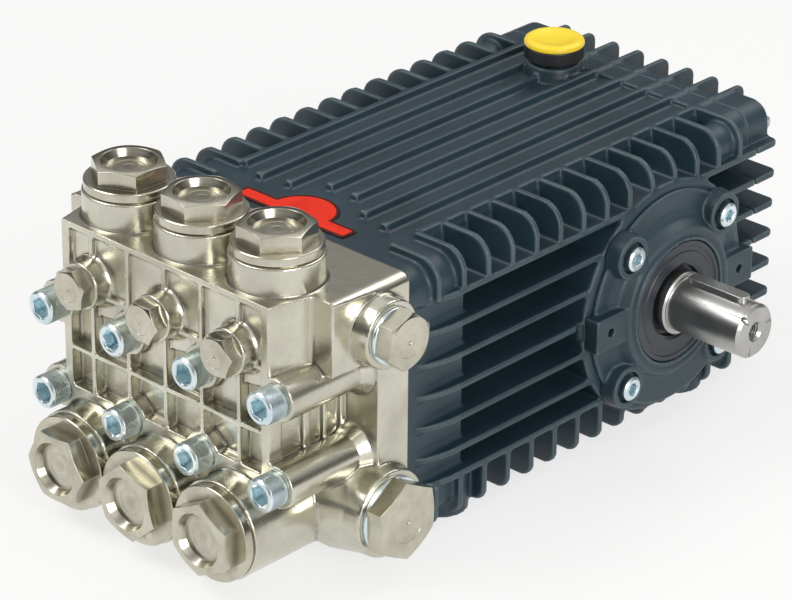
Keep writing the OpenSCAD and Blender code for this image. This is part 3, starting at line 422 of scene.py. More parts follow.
# Valve caps
# Hexagon caps of machined bronze, nickel plated: a round collar seats on the valve's boss, and
# a turned dish in the hexagon leaves a bright ring. They screw in, so no two stand alike.
CAP_COLLAR = 0.0055
CAP_HEXAGON = 0.009
CAP_DISH_RADIUS = 0.0144
CAP_DISH_DEPTH = 0.004
HEXAGON_BEVEL = 0.0014
MARKS_SCALE = 20
DISCHARGE_FLATS = 0.035
SUCTION_FLATS = 0.036
CAP_TURNS = {"discharge_cap_left": -3.5, "discharge_cap_middle": 21, "discharge_cap_right": 20.5,
             "suction_cap_left": -29.5, "suction_cap_middle": 12, "suction_cap_right": -2}
CAP_LIGHT = (0.610, 0.588, 0.488, 1)
CAP_DARK = (0.30, 0.275, 0.205, 1)
UP = Matrix.Identity(4)
FORWARDS = Matrix.Rotation(math.radians(90), 4, "X")
BACKWARDS = Matrix.Rotation(math.radians(-90), 4, "X")
SIDEWAYS = Matrix.Rotation(math.radians(90), 4, "Y")


def middle(node):
    low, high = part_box(node)
    return (Vector(low) + Vector(high)) / 2


def hexagon_rings(flats, low, high, turn):
    """Rings up a hexagon's sides and in over its bevelled rim."""
    corner = flats / math.cos(math.pi / 6)
    lathe_low = (corner + 0.001) / 2
    lathe_high = (flats - 0.001) / 2

    def outline(angle):
        step = (angle - math.radians(turn) + math.pi / 6) % (math.pi / 3) - math.pi / 6
        return flats / 2 / math.cos(step)

    def rim(angle):
        return high - HEXAGON_BEVEL * (outline(angle) - lathe_high) / (lathe_low - lathe_high)

    return [(outline, low), (outline, rim), (lathe_high, high)]


def finish_shape(shape, name, *materials):
    """Puts a built shape into the scene as an object with its materials."""
    mesh = bpy.data.meshes.new(name)
    shape.to_mesh(mesh)
    shape.free()
    for material in materials:
        mesh.materials.append(material)
    piece = bpy.data.objects.new(name, mesh)
    scene.collection.objects.link(piece)
    return piece


def bevel_edges(piece, width, angle):
    bevel = piece.modifiers.new("edge", "BEVEL")
    bevel.width = width
    bevel.segments = 2
    bevel.angle_limit = math.radians(angle)
    bevel.harden_normals = True
    settle_modifiers(piece)


def turned_piece(name, rings, place, material, turn=0.0, edge=0.0003, sides=96):
    """A closed lathe shape from its rings of (radius, height), from one end's middle to the other's.

    The mesh keeps a UV map, along the ring and along the section, for the marks of the tool.
    """
    shape = bmesh.new()
    layer = shape.loops.layers.uv.new("section")
    loops, lengths = [], []
    for radius, height in rings:
        ring = []
        for i in range(1 if radius == 0 else sides):
            angle = math.radians(turn) + 2 * math.pi * i / sides
            r = radius(angle) if callable(radius) else radius
            z = height(angle) if callable(height) else height
            ring.append(shape.verts.new((r * math.cos(angle), r * math.sin(angle), z)))
        if loops:
            lengths.append(lengths[-1] + (ring[0].co - loops[-1][0].co).length)
        else:
            lengths.append(0.0)
        loops.append(ring)
    for below, above, low, high in zip(loops, loops[1:], lengths, lengths[1:]):
        for i in range(sides):
            j = (i + 1) % sides
            corners = [(below[0], i, low)] if len(below) == 1 else [
                (below[i], i, low), (below[j], i + 1, low)]
            corners += [(above[0], i, high)] if len(above) == 1 else [
                (above[j], i + 1, high), (above[i], i, high)]
            face = shape.faces.new([corner[0] for corner in corners])
            for loop, (_, step, length) in zip(face.loops, corners):
                loop[layer].uv = (step / sides, length * MARKS_SCALE)
    bmesh.ops.recalc_face_normals(shape, faces=shape.faces)
    shape.transform(place)
    piece = finish_shape(shape, name, material)
    piece.data.shade_smooth()
    if edge:
        bevel_edges(piece, edge, 24)
    return piece


def stand_for(piece, node, body="pump"):
    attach(piece, body)
    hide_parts(node)


def make_tool_group():
    """Fine rings left by a turning tool, read from the piece's own UV map."""
    group, given, result = new_group("tool_marks", [
        ("Marks", "NodeSocketFloat", 60.0), ("Wobble", "NodeSocketFloat", 2.0)],
        [("Rings", "NodeSocketFloat")])
    place = add_node(group, "ShaderNodeUVMap", uv_map="section")
    size = group.nodes.new("ShaderNodeCombineXYZ")
    stretch = add_node(group, "ShaderNodeVectorMath", operation="MULTIPLY")
    rings = add_node(group, "ShaderNodeTexNoise", Scale=1.0, Detail=3.0, Roughness=0.65)
    link = group.links.new
    link(given.outputs["Wobble"], size.inputs["X"])
    link(given.outputs["Marks"], size.inputs["Y"])
    link(place.outputs["UV"], stretch.inputs[0])
    link(size.outputs[0], stretch.inputs[1])
    link(stretch.outputs[0], rings.inputs["Vector"])
    link(rings.outputs["Fac"], result.inputs["Rings"])
    return group


tool_group = make_tool_group()


def make_turned_metal(name, light, dark, rough_low, rough_high, marks, depth, crease_shade_share=0.45):
    material = new_material(name, light, 1.0, rough_low)
    tree = material.node_tree
    skin = place_group(material, skin_group, Cloud_Scale=60.0, Grain_Scale=1600.0, Grain_Share=0.5)
    edges = place_group(material, edge_group)
    tool = place_group(material, tool_group, Marks=marks)
    tone = blend_colors(tree, scale_value(tree, skin.outputs["Cloud"], 0.0, 0.5, 0.35, 0.7), light, dark)
    # Concave corners are darkened towards a fraction of the dark tone: painted shade.
    painted_crease_shade = tuple(crease_shade_share * part for part in dark[:3]) + (1,)
    tone = blend_colors(tree, scale_value(tree, edges.outputs["Corner"], 0.0, 0.85), tone, painted_crease_shade)
    tree.links.new(tone, shader_of(material).inputs["Base Color"])
    vary_roughness(material, tool.outputs["Rings"], rough_low, rough_high)
    add_bump(material, tool.outputs["Rings"], 0.25, depth)
    return material


plated_caps = make_turned_metal("plated_caps", CAP_LIGHT, CAP_DARK, 0.17, 0.26, 40.0, 0.00002)


def make_valve_cap(node, flats, seat, facing):
    low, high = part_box(node)
    collar = (high[0] - low[0]) / 2
    top = CAP_COLLAR + CAP_HEXAGON
    floor = top - CAP_DISH_DEPTH
    rings = [(0, 0), (collar - 0.0012, 0), (collar - 0.0006, 0.0009), (collar, 0.0009),
             (collar, CAP_COLLAR - 0.0005), (collar - 0.0005, CAP_COLLAR)]
    rings += hexagon_rings(flats, CAP_COLLAR, top, CAP_TURNS[node])
    rings += [(CAP_DISH_RADIUS, top), (CAP_DISH_RADIUS - 0.0021, floor), (0.0080, floor + 0.0001),
              (0.0077, floor - 0.0001), (0.0034, floor + 0.0001), (0.0031, floor - 0.0001), (0, floor)]
    piece = turned_piece(node + "_turned", rings, Matrix.Translation(seat) @ facing, plated_caps,
                         CAP_TURNS[node])
    stand_for(piece, node)


for side in ("left", "middle", "right"):
    node = "discharge_cap_" + side
    seat = middle(node)
    seat.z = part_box(node)[1][2] - CAP_COLLAR - CAP_HEXAGON
    make_valve_cap(node, DISCHARGE_FLATS, seat, UP)
    node = "suction_cap_" + side
    seat = middle(node)
    seat.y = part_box(node)[0][1] + CAP_COLLAR + CAP_HEXAGON
    make_valve_cap(node, SUCTION_FLATS, seat, FORWARDS)

# Gallery and port plugs
# Plain hexagon plugs of the same plated bronze close the drilled galleries: three small ones
# at the front, and one in each port of the driven side, on a steel sealing washer.
PLUG_SIZES = {"middle_plug_left": (0.020, 0.008, -12), "middle_plug_middle": (0.020, 0.008, 28),
              "middle_plug_right": (0.020, 0.008, -23), "outlet_plug": (0.027, 0.010, 19),
              "inlet_plug": (0.038, 0.010, 32)}
WASHER_THICKNESS = 0.002
ZINC_LIGHT = (0.80, 0.87, 0.90, 1)
ZINC_DARK = (0.42, 0.60, 0.66, 1)

zinc_steel = make_turned_metal("zinc_steel", ZINC_LIGHT, ZINC_DARK, 0.22, 0.34, 60.0, 0.00002, 0.9)

for node, (flats, height, turn) in PLUG_SIZES.items():
    at_side = node in ("outlet_plug", "inlet_plug")
    low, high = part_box(node)
    seat = middle(node)
    if at_side:
        seat.x = high[0] - height
    else:
        seat.y = low[1] + height
    rings = [(0, 0)] + hexagon_rings(flats, 0, height, turn)
    rings += [(flats * 0.3, height), (flats * 0.3 - 0.0002, height - 0.0001), (0.0012, height - 0.0002),
              (0.0009, height - 0.0005), (0, height - 0.0005)]
    facing = SIDEWAYS if at_side else FORWARDS
    piece = turned_piece(node + "_turned", rings, Matrix.Translation(seat) @ facing, plated_caps, turn)
    stand_for(piece, node)

for node in ("outlet_washer", "inlet_washer"):
    low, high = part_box(node)
    outer = (high[1] - low[1]) / 2
    inner = outer - 0.0055
    seat = middle(node)
    seat.x = low[0]
    rings = [(inner, 0.0002), (outer - 0.0003, 0), (outer, 0.0004), (outer, WASHER_THICKNESS - 0.0004),
             (outer - 0.0003, WASHER_THICKNESS), (inner, WASHER_THICKNESS)]
    piece = turned_piece(node + "_turned", rings + rings[:1], Matrix.Translation(seat) @ SIDEWAYS,
                         zinc_steel, edge=0.0)
    stand_for(piece, node)

# Cap screws
# Socket head screws of bright zinc-plated steel. Eight long ones clamp the head to the
# crankcase; four hold each bearing cover and four the rear cover. Their caps are knurled.
HEAD_SCREW = (0.0090, 0.012, 0.010)
COVER_SCREW = (0.0067, 0.007, 0.006)
REAR_SCREW = (0.0050, 0.005, 0.005)
KNURL_SIZE = 0.00022
KNURLS_PER_METRE = 7000


def new_shape_tree(name, sockets):
    """An empty Geometry Nodes tree with named inputs, a geometry in and a geometry out."""
    tree = bpy.data.node_groups.new(name, "GeometryNodeTree")
    tree.interface.new_socket("Geometry", in_out="INPUT", socket_type="NodeSocketGeometry")
    for label, kind in sockets:
        tree.interface.new_socket(label, in_out="INPUT", socket_type=kind)
    tree.interface.new_socket("Geometry", in_out="OUTPUT", socket_type="NodeSocketGeometry")
    return tree, tree.nodes.new("NodeGroupInput"), tree.nodes.new("NodeGroupOutput")


def make_knurled_caps_tree():
    """Sets upright ridges round a turned cap, and puts one such cap on each place."""
    tree, given, result = new_shape_tree("knurled_caps", [
        ("Places", "NodeSocketObject"), ("Turn", "NodeSocketRotation"), ("Cap Radius", "NodeSocketFloat"),
        ("Ridge Size", "NodeSocketFloat"), ("Ridge Length", "NodeSocketFloat"),
        ("Ridge Middle", "NodeSocketVector"), ("Ridge Count", "NodeSocketInt"),
        ("Finish", "NodeSocketMaterial")])
    circle = tree.nodes.new("GeometryNodeMeshCircle")
    ridge = tree.nodes.new("GeometryNodeMeshCylinder")
    ridge.inputs["Vertices"].default_value = 5
    around = tree.nodes.new("GeometryNodeInstanceOnPoints")
    lift = tree.nodes.new("GeometryNodeTransform")
    cap = tree.nodes.new("GeometryNodeJoinGeometry")
    places = tree.nodes.new("GeometryNodeObjectInfo")
    spread = tree.nodes.new("GeometryNodeInstanceOnPoints")
    single = tree.nodes.new("GeometryNodeRealizeInstances")
    finish = tree.nodes.new("GeometryNodeSetMaterial")
    link = tree.links.new
    link(given.outputs["Ridge Count"], circle.inputs["Vertices"])
    link(given.outputs["Cap Radius"], circle.inputs["Radius"])
    link(given.outputs["Ridge Size"], ridge.inputs["Radius"])
    link(given.outputs["Ridge Length"], ridge.inputs["Depth"])
    link(circle.outputs["Mesh"], around.inputs["Points"])
    link(ridge.outputs["Mesh"], around.inputs["Instance"])
    link(around.outputs["Instances"], lift.inputs["Geometry"])
    link(given.outputs["Ridge Middle"], lift.inputs["Translation"])
    link(given.outputs["Geometry"], cap.inputs["Geometry"])
    link(lift.outputs["Geometry"], cap.inputs["Geometry"])
    link(given.outputs["Places"], places.inputs["Object"])
    link(places.outputs["Geometry"], spread.inputs["Points"])
    link(cap.outputs["Geometry"], spread.inputs["Instance"])
    link(given.outputs["Turn"], spread.inputs["Rotation"])
    link(spread.outputs["Instances"], single.inputs["Geometry"])
    link(single.outputs["Geometry"], finish.inputs["Geometry"])
    link(given.outputs["Finish"], finish.inputs["Material"])
    link(finish.outputs["Geometry"], result.inputs["Geometry"])
    return tree


knurled_caps = make_knurled_caps_tree()


def run_tree(piece, tree, **values):
    """Evaluates a tree on a piece with the given inputs and keeps the plain mesh."""
    modifier = piece.modifiers.new(tree.name, "NODES")
    modifier.node_group = tree
    for socket in tree.interface.items_tree:
        name = socket.name.replace(" ", "_")
        if socket.in_out == "INPUT" and name in values:
            modifier[socket.identifier] = values[name]
    settle_modifiers(piece)


def screw_rings(radius, height, flats):
    """A socket screw's cap: seat, knurled side, bevelled rim, and the hexagon socket."""
    socket = hexagon_rings(flats, 0, 0, 0)[0][0]
    side = radius - KNURL_SIZE
    return [(0, 0), (side - 0.0004, 0), (side, 0.0004), (side, height - 0.0010),
            (radius - 0.0004, height - 0.0009), (radius - 0.0012, height), (flats * 0.62, height),
            (flats * 0.585, height - 0.0002), (socket, height - 0.0006), (socket, height * 0.48),
            (0, height * 0.42)]


def mark_places(name, seats):
    """Bare points for a tree to put its copies on."""
    places = bpy.data.meshes.new(name)
    places.from_pydata([tuple(seat) for seat in seats], [], [])
    marks = bpy.data.objects.new(name, places)
    scene.collection.objects.link(marks)
    return marks


def set_screws(node, size, seats, facing, turn):
    radius, height, flats = size
    marks = mark_places("screw_places", seats)
    piece = turned_piece(node + "_knurled", screw_rings(radius, height, flats),
                         Matrix.Rotation(math.radians(turn), 4, "Z"), zinc_steel, edge=0.00015, sides=48)
    run_tree(piece, knurled_caps, Places=marks, Turn=facing.to_euler(), Cap_Radius=radius - KNURL_SIZE,
             Ridge_Size=KNURL_SIZE, Ridge_Length=height - 0.0018, Ridge_Middle=(0, 0, height / 2 - 0.0002),
             Ridge_Count=round(radius * KNURLS_PER_METRE), Finish=zinc_steel)
    bpy.data.objects.remove(marks)
    stand_for(piece, node)


def corner_seats(node, radius, along, depth):
    """Where four screws of one node sit, from the node's box."""
    low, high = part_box(node)
    seats = []
    other = 1 - along
    for first in (low[other] + radius, high[other] - radius):
        for z in (low[2] + radius, high[2] - radius):
            seat = Vector((0, 0, z))
            seat[other] = first
            seat[along] = depth
            seats.append(seat)
    return seats


for row, turns in (("top", (8, 24, -6, 17)), ("low", (-14, 3, 21, 10))):
    for i, turn in enumerate(turns):
        node = "head_screw_%s_%d" % (row, i + 1)
        seat = middle(node)
        seat.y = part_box(node)[0][1] + HEAD_SCREW[1]
        set_screws(node, HEAD_SCREW, [seat], FORWARDS, turn)
drive_seat_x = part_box("drive_cover_screws")[1][0] - COVER_SCREW[1]
blind_seat_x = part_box("blind_cover_screws")[0][0] + COVER_SCREW[1]
for node, facing, seat_x in (("drive_cover_screws", SIDEWAYS, drive_seat_x),
                             ("blind_cover_screws", SIDEWAYS.inverted(), blind_seat_x)):
    set_screws(node, COVER_SCREW, corner_seats(node, COVER_SCREW[0], 0, seat_x), facing, 11)
set_screws("rear_cover_screws", REAR_SCREW, corner_seats(
    "rear_cover_screws", REAR_SCREW[0], 1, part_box("rear_cover_screws")[1][1] - REAR_SCREW[1]), BACKWARDS, 5)

# Drive shaft and seal
# The crankshaft's driven end is turned and ground steel with a bevelled end, a threaded centre
# hole and a milled seat for its key. It runs in a black rubber seal pressed into the cover.
SHAFT_RADIUS = 0.015
COLLAR_RADIUS = 0.0175
COLLAR_SHOWN = 0.004
SHAFT_BEVEL = 0.0016
CENTRE_HOLE = 0.004
CENTRE_HOLE_DEPTH = 0.018
STEEL_LIGHT = (0.50, 0.495, 0.475, 1)
STEEL_DARK = (0.30, 0.29, 0.27, 1)
KEY_LIGHT = (0.185, 0.190, 0.195, 1)
KEY_DARK = (0.115, 0.118, 0.122, 1)
KEY_CLEARANCE = 0.00005
RIM_NOTCHES = (14, 133, 250)
NOTCH_RADIUS = 0.0015
NOTCH_DEPTH = 0.002
NOTCH_CENTRE = 0.0135
SEAL_CLEARANCE = 0.00005
SEAL_TONE = (0.015, 0.020, 0.028, 1)
SEAL_WORN = (0.034, 0.042, 0.054, 1)

shaft_low, shaft_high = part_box("drive_shaft")
shaft_middle = middle("drive_shaft")


def turn_shaft():
    """The shaft without its key seat, from its inner end to its bevelled outer end."""
    length = shaft_high[0] - shaft_low[0]
    seal_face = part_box("shaft_seal")[1][0] - shaft_low[0]
    collar_end = seal_face + COLLAR_SHOWN
    bore = length - CENTRE_HOLE_DEPTH
    rings = [(0, 0), (COLLAR_RADIUS - 0.001, 0), (COLLAR_RADIUS, 0.001), (COLLAR_RADIUS, collar_end - 0.001),
             (COLLAR_RADIUS - 0.001, collar_end), (SHAFT_RADIUS + 0.0004, collar_end),
             (SHAFT_RADIUS, collar_end + 0.0004), (SHAFT_RADIUS, length - SHAFT_BEVEL),
             (SHAFT_RADIUS - SHAFT_BEVEL, length), (CENTRE_HOLE + SHAFT_BEVEL, length),
             (CENTRE_HOLE, length - SHAFT_BEVEL), (CENTRE_HOLE, bore), (0, bore - 0.002)]
    place = Matrix.Translation((shaft_low[0], shaft_middle.y, shaft_middle.z)) @ SIDEWAYS
    return turned_piece("drive_shaft_turned", rings, place, turned_steel, edge=0.0002)


def round_bar(name, low, high, width, bottom, top, material, sides=12):
    """A flat bar along X with round ends, such as the key or the cutter's path for its seat."""
    shape = bmesh.new()
    half = width / 2
    rim = []
    for centre, start in ((high - half, -90), (low + half, 90)):
        for i in range(sides + 1):
            angle = math.radians(start + 180 * i / sides)
            rim.append((centre + half * math.cos(angle), shaft_middle.y + half * math.sin(angle)))
    floor = [shape.verts.new((x, y, bottom)) for x, y in rim]
    roof = [shape.verts.new((x, y, top)) for x, y in rim]
    shape.faces.new(floor[::-1])
    shape.faces.new(roof)
    for i in range(len(rim)):
        j = (i + 1) % len(rim)
        shape.faces.new((floor[i], floor[j], roof[j], roof[i]))
    return finish_shape(shape, name, material)


def cut_away(piece, cutter):
    cut = piece.modifiers.new("cut", "BOOLEAN")
    cut.object = cutter
    cut.operation = "DIFFERENCE"
    cut.solver = "EXACT"
    settle_modifiers(piece)
    bpy.data.objects.remove(cutter)


def mill_shaft(shaft):
    """Cuts the key's seat close round the key, and three notches in the end's rim."""
    low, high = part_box("shaft_key")
    cut_away(shaft, round_bar("key_cutter", low[0] - KEY_CLEARANCE, high[0] + KEY_CLEARANCE,
                              high[1] - low[1] + 2 * KEY_CLEARANCE, low[2], high[2] + 0.01, turned_steel))
    for turn in RIM_NOTCHES:
        angle = math.radians(turn)
        place = Matrix.Translation((shaft_high[0] - NOTCH_DEPTH,
                                    shaft_middle.y + NOTCH_CENTRE * math.cos(angle),
                                    shaft_middle.z + NOTCH_CENTRE * math.sin(angle))) @ SIDEWAYS
        past = NOTCH_DEPTH + 0.001
        rings = [(0, 0), (NOTCH_RADIUS, 0), (NOTCH_RADIUS, past), (0, past)]
        cut_away(shaft, turned_piece("notch_cutter", rings, place, turned_steel, edge=0.0, sides=16))


turned_steel = make_turned_metal("turned_steel", STEEL_LIGHT, STEEL_DARK, 0.29, 0.35, 110.0, 0.000004)
shaft = turn_shaft()
mill_shaft(shaft)
stand_for(shaft, "drive_shaft", "crankshaft")


def make_key_steel():
    material = new_material("key_steel", KEY_LIGHT, 1.0, 0.3)
    tree = material.node_tree
    skin = place_group(material, skin_group, Cloud_Scale=90.0, Grain_Scale=2600.0, Grain_Share=0.7)
    edges = place_group(material, edge_group)
    tone = blend_colors(tree, scale_value(tree, skin.outputs["Cloud"], 0, 1, 0.35, 0.65), KEY_LIGHT, KEY_DARK)
    tree.links.new(blend_colors(tree, edges.outputs["Edge"], tone, STEEL_LIGHT),
                   shader_of(material).inputs["Base Color"])
    vary_roughness(material, skin.outputs["Grain"], 0.24, 0.42)
    add_bump(material, skin.outputs["Height"], 0.15, 0.0001)
    return material


key_steel = make_key_steel()
low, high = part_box("shaft_key")
key = round_bar("shaft_key_ground", low[0], high[0], high[1] - low[1], low[2], high[2], key_steel)
bevel_edges(key, 0.0004, 40)
stand_for(key, "shaft_key", "crankshaft")


def make_seal_rubber():
    material = new_material("seal_rubber", SEAL_TONE, 0.0, 0.42)
    tree = material.node_tree
    skin = place_group(material, skin_group, Cloud_Scale=40.0, Grain_Scale=2000.0, Grain_Share=0.5)
    tool = place_group(material, tool_group, Marks=50.0)
    tree.links.new(blend_colors(tree, scale_value(tree, skin.outputs["Cloud"], 0, 1, 0.4, 0.75), SEAL_TONE,
                                SEAL_WORN), shader_of(material).inputs["Base Color"])
    vary_roughness(material, tool.outputs["Rings"], 0.30, 0.40)
    add_bump(material, tool.outputs["Rings"], 0.2, 0.00005)
    return material


seal_rubber = make_seal_rubber()
low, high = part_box("shaft_seal")
seal_outer = (high[1] - low[1]) / 2
seal_width = high[0] - low[0]
lip = seal_width / 2
rings = [(COLLAR_RADIUS + SEAL_CLEARANCE, 0), (seal_outer - 0.0005, 0), (seal_outer, 0.0005),
         (seal_outer, seal_width - 0.0010), (seal_outer - 0.0008, seal_width),
         (seal_outer - 0.0030, seal_width), (seal_outer - 0.0036, seal_width - 0.0007),
         (seal_outer - 0.0060, seal_width - 0.0007),
         (seal_outer - 0.0066, seal_width - 0.0002), (COLLAR_RADIUS + 0.0042, seal_width - 0.0002),
         (COLLAR_RADIUS + 0.0024, seal_width - 0.0012), (COLLAR_RADIUS + 0.0020, lip + 0.0006),
         (COLLAR_RADIUS + SEAL_CLEARANCE, lip)]
seal_place = Matrix.Translation((low[0], shaft_middle.y, shaft_middle.z)) @ SIDEWAYS
seal = turned_piece("shaft_seal_moulded", rings + rings[:1], seal_place, seal_rubber, edge=0.0002)
stand_for(seal, "shaft_seal")

# Filler
# The oil filler stands on a raised ring of the deck: a black moulded neck with a ribbed grip,
# and a smooth yellow cap with a rounded rim.
NECK_RADIUS = 0.0125
GRIP_RADIUS = 0.0165
NECK_RISE = 0.002
GRIP_RISE = 0.0078
GRIP_RIB = 0.0004
CAP_RADIUS = 0.0166
CAP_RISE = 0.0038
YELLOW_TONE = (0.97, 0.74, 0.045, 1)
YELLOW_DEEP = (0.90, 0.63, 0.025, 1)
BLACK_TONE = (0.010, 0.010, 0.011, 1)
BLACK_WORN = (0.026, 0.027, 0.029, 1)


def make_moulded_plastic(name, tone, worn, roughness, grain):
    material = new_material(name, tone, 0.0, roughness)
    tree = material.node_tree
    skin = place_group(material, skin_group, Cloud_Scale=35.0, Grain_Scale=1800.0, Grain_Share=0.6)
    tree.links.new(blend_colors(tree, scale_value(tree, skin.outputs["Cloud"], 0, 1, 0.35, 0.7), tone, worn),
                   shader_of(material).inputs["Base Color"])
    vary_roughness(material, skin.outputs["Grain"], roughness - 0.06, roughness + 0.08)
    add_bump(material, skin.outputs["Height"], grain, 0.0002)
    return material


black_plastic = make_moulded_plastic("black_plastic", BLACK_TONE, BLACK_WORN, 0.42, 0.15)
yellow_plastic = make_moulded_plastic("yellow_plastic", YELLOW_TONE, YELLOW_DEEP, 0.36, 0.06)

filler = middle("filler_cap")
filler.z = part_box("filler_cap")[0][2] - GRIP_RISE - NECK_RISE
neck_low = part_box("filler_neck")[0][2] - filler.z
grip = GRIP_RADIUS - GRIP_RIB
rings = [(0, neck_low), (0.0086, neck_low), (0.009, neck_low + 0.0004), (0.009, 0), (NECK_RADIUS - 0.0003, 0),
         (NECK_RADIUS, 0.0003), (NECK_RADIUS, NECK_RISE), (grip - 0.0012, NECK_RISE),
         (grip, NECK_RISE + 0.0010), (grip, NECK_RISE + GRIP_RISE - 0.0010),
         (grip - 0.0006, NECK_RISE + GRIP_RISE), (0, NECK_RISE + GRIP_RISE)]
neck = turned_piece("filler_neck_moulded", rings, UP, black_plastic, edge=0.0002)
spot = mark_places("filler_place", [filler])
run_tree(neck, knurled_caps, Places=spot, Turn=(0, 0, 0), Cap_Radius=grip, Ridge_Size=GRIP_RIB,
         Ridge_Length=GRIP_RISE - 0.0016, Ridge_Middle=(0, 0, NECK_RISE + GRIP_RISE / 2), Ridge_Count=60,
         Finish=black_plastic)
bpy.data.objects.remove(spot)
stand_for(neck, "filler_neck")

cap_low = NECK_RISE + GRIP_RISE
rings = [(0, cap_low), (CAP_RADIUS - 0.0004, cap_low), (CAP_RADIUS, cap_low + 0.0005),
         (CAP_RADIUS, cap_low + 0.0018), (CAP_RADIUS - 0.0004, cap_low + 0.0027),
         (CAP_RADIUS - 0.0014, cap_low + 0.0034), (CAP_RADIUS - 0.0030, cap_low + CAP_RISE),
         (CAP_RADIUS - 0.0046, cap_low + CAP_RISE - 0.0002),
         (CAP_RADIUS - 0.0056, cap_low + CAP_RISE - 0.0006),
         (0.004, cap_low + CAP_RISE - 0.0007), (0, cap_low + CAP_RISE - 0.0007)]
cap = turned_piece("filler_cap_moulded", rings, Matrix.Translation(filler), yellow_plastic, edge=0.00015)
stand_for(cap, "filler_cap")

# Label plate
# A thin enamelled strip lies in a shallow recess at the front of the deck, with a round bulge
# behind it. It is bare, and its rim is a little raised. The rim and sides are dark: the plate's
# black border along the bulge, and painted shade of the recess round the rest.
LABEL_HALF = 0.0388
LABEL_FRONT = -0.1260
LABEL_BACK = -0.1152
LABEL_MIDDLE = -0.0035
LABEL_CORNER = 0.0014
LABEL_LOW = 0.1483
LABEL_RISE = 0.0013
LABEL_BEVEL = 0.0001
RIM_WIDTH = 0.0015
FIELD_DROP = 0.00015
BULGE_MIDDLE = (-0.00175, -0.1182)
BULGE_RADIUS = 0.0198
LABEL_RED = (0.78, 0.030, 0.008, 1)
LABEL_RED_DEEP = (0.58, 0.012, 0.005, 1)
# Dark colour of the rim and sides: the plate's black border on the bulge, painted recess shade elsewhere.
LABEL_RIM_BORDER_AND_SHADE = (0.055, 0.006, 0.005, 1)


def label_columns(inset):
    """The plate's outline as columns of (x, front, back), from its right end to its left one."""
    left, right = LABEL_MIDDLE - LABEL_HALF + inset, LABEL_MIDDLE + LABEL_HALF - inset
    front, back = LABEL_FRONT + inset, LABEL_BACK - inset
    corner = []
    for i in range(5):
        angle = math.radians(90 * i / 4)
        fall = LABEL_CORNER * (1 - math.sin(angle))
        corner.append((right - LABEL_CORNER * (1 - math.cos(angle)), front + fall, back - fall))
    reach = BULGE_RADIUS - inset
    first = math.asin((back - BULGE_MIDDLE[1]) / reach)
    bulge = []
    for i in range(33):
        angle = first + (math.pi - 2 * first) * i / 32
        bulge.append((BULGE_MIDDLE[0] + reach * math.cos(angle), front,
                      BULGE_MIDDLE[1] + reach * math.sin(angle)))
    return corner + bulge + [(left + right - x, low, high) for x, low, high in corner[::-1]]


def make_label_material(name, tone, deep):
    material = new_material(name, tone, 0.0, 0.28)
    tree = material.node_tree
    shader_of(material).inputs["Specular IOR Level"].default_value = 0.22
    skin = place_group(material, skin_group, Cloud_Scale=50.0, Grain_Scale=1200.0, Grain_Share=0.4)
    deep_share = scale_value(tree, skin.outputs["Cloud"], 0, 0.7, 0.35, 0.7)
    tree.links.new(blend_colors(tree, deep_share, tone, deep), shader_of(material).inputs["Base Color"])
    vary_roughness(material, skin.outputs["Grain"], 0.22, 0.36)
    add_bump(material, skin.outputs["Height"], 0.08, 0.0001)
    return material


def make_label():
    """Loops of the outline from the underside up to the field, joined by walls and two caps."""
    shape = bmesh.new()
    top = LABEL_LOW + LABEL_RISE
    levels = ((0.0, LABEL_LOW), (0.0, top - LABEL_BEVEL), (LABEL_BEVEL, top), (RIM_WIDTH, top),
              (RIM_WIDTH + LABEL_BEVEL, top - FIELD_DROP))
    loops = []
    for inset, z in levels:
        columns = label_columns(inset)
        outline = [(x, back) for x, front, back in columns] + [(x, front) for x, front, back in columns[::-1]]
        loops.append([shape.verts.new((x, y, z)) for x, y in outline])
    count = len(loops[0])
    for loop in (loops[0], loops[-1]):
        for i in range(count // 2 - 1):
            shape.faces.new((loop[i], loop[i + 1], loop[count - 2 - i], loop[count - 1 - i]))
    # Walls, bevels and the raised rim take the dark rim colour: black border in part, painted shade in part.
    for below, above in zip(loops, loops[1:]):
        for i in range(count):
            j = (i + 1) % count
            shape.faces.new((below[i], below[j], above[j], above[i])).material_index = 1
    bmesh.ops.recalc_face_normals(shape, faces=shape.faces)
    label = finish_shape(shape, "label_plate", make_label_material("label_enamel", LABEL_RED, LABEL_RED_DEEP),
                         make_label_material("label_rim", LABEL_RIM_BORDER_AND_SHADE, LABEL_RIM_BORDER_AND_SHADE))
    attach(label, "pump")


make_label()

# Rear fittings
# An oil window with a plated ring is pressed into the rear cover, above a hexagon drain plug
# on a short round stub.
WINDOW_RADIUS = 0.010
RING_RADIUS = 0.015
DRAIN_FLATS = 0.017
DRAIN_HEIGHT = 0.007
DRAIN_STUB = 0.005
OIL_LIGHT = (0.72, 0.50, 0.16, 1)
OIL_DEEP = (0.36, 0.19, 0.035, 1)
EMPTY_WINDOW = (0.62, 0.58, 0.50, 1)


def make_oil_window():
    """Clear window with amber oil standing behind its lower part."""
    material = new_material("oil_window", OIL_LIGHT, 0.0, 0.08)
    tree = material.node_tree
    shader = shader_of(material)
    shader.inputs["Coat Weight"].default_value = 1.0
    shader.inputs["Coat Roughness"].default_value = 0.04
    place = tree.nodes.new("ShaderNodeTexCoord")
    split = tree.nodes.new("ShaderNodeSeparateXYZ")
    tree.links.new(place.outputs["Object"], split.inputs[0])
    skin = place_group(material, skin_group, Cloud_Scale=120.0, Grain_Scale=1500.0, Grain_Share=0.5)
    level = scale_value(tree, split.outputs["Z"], 1, 0, shaft_middle.z + 0.0002, shaft_middle.z + 0.0012)
    oil = blend_colors(tree, skin.outputs["Cloud"], OIL_DEEP, OIL_LIGHT)
    tree.links.new(blend_colors(tree, level, EMPTY_WINDOW, oil), shader.inputs["Base Color"])
    vary_roughness(material, skin.outputs["Grain"], 0.06, 0.14)
    return material


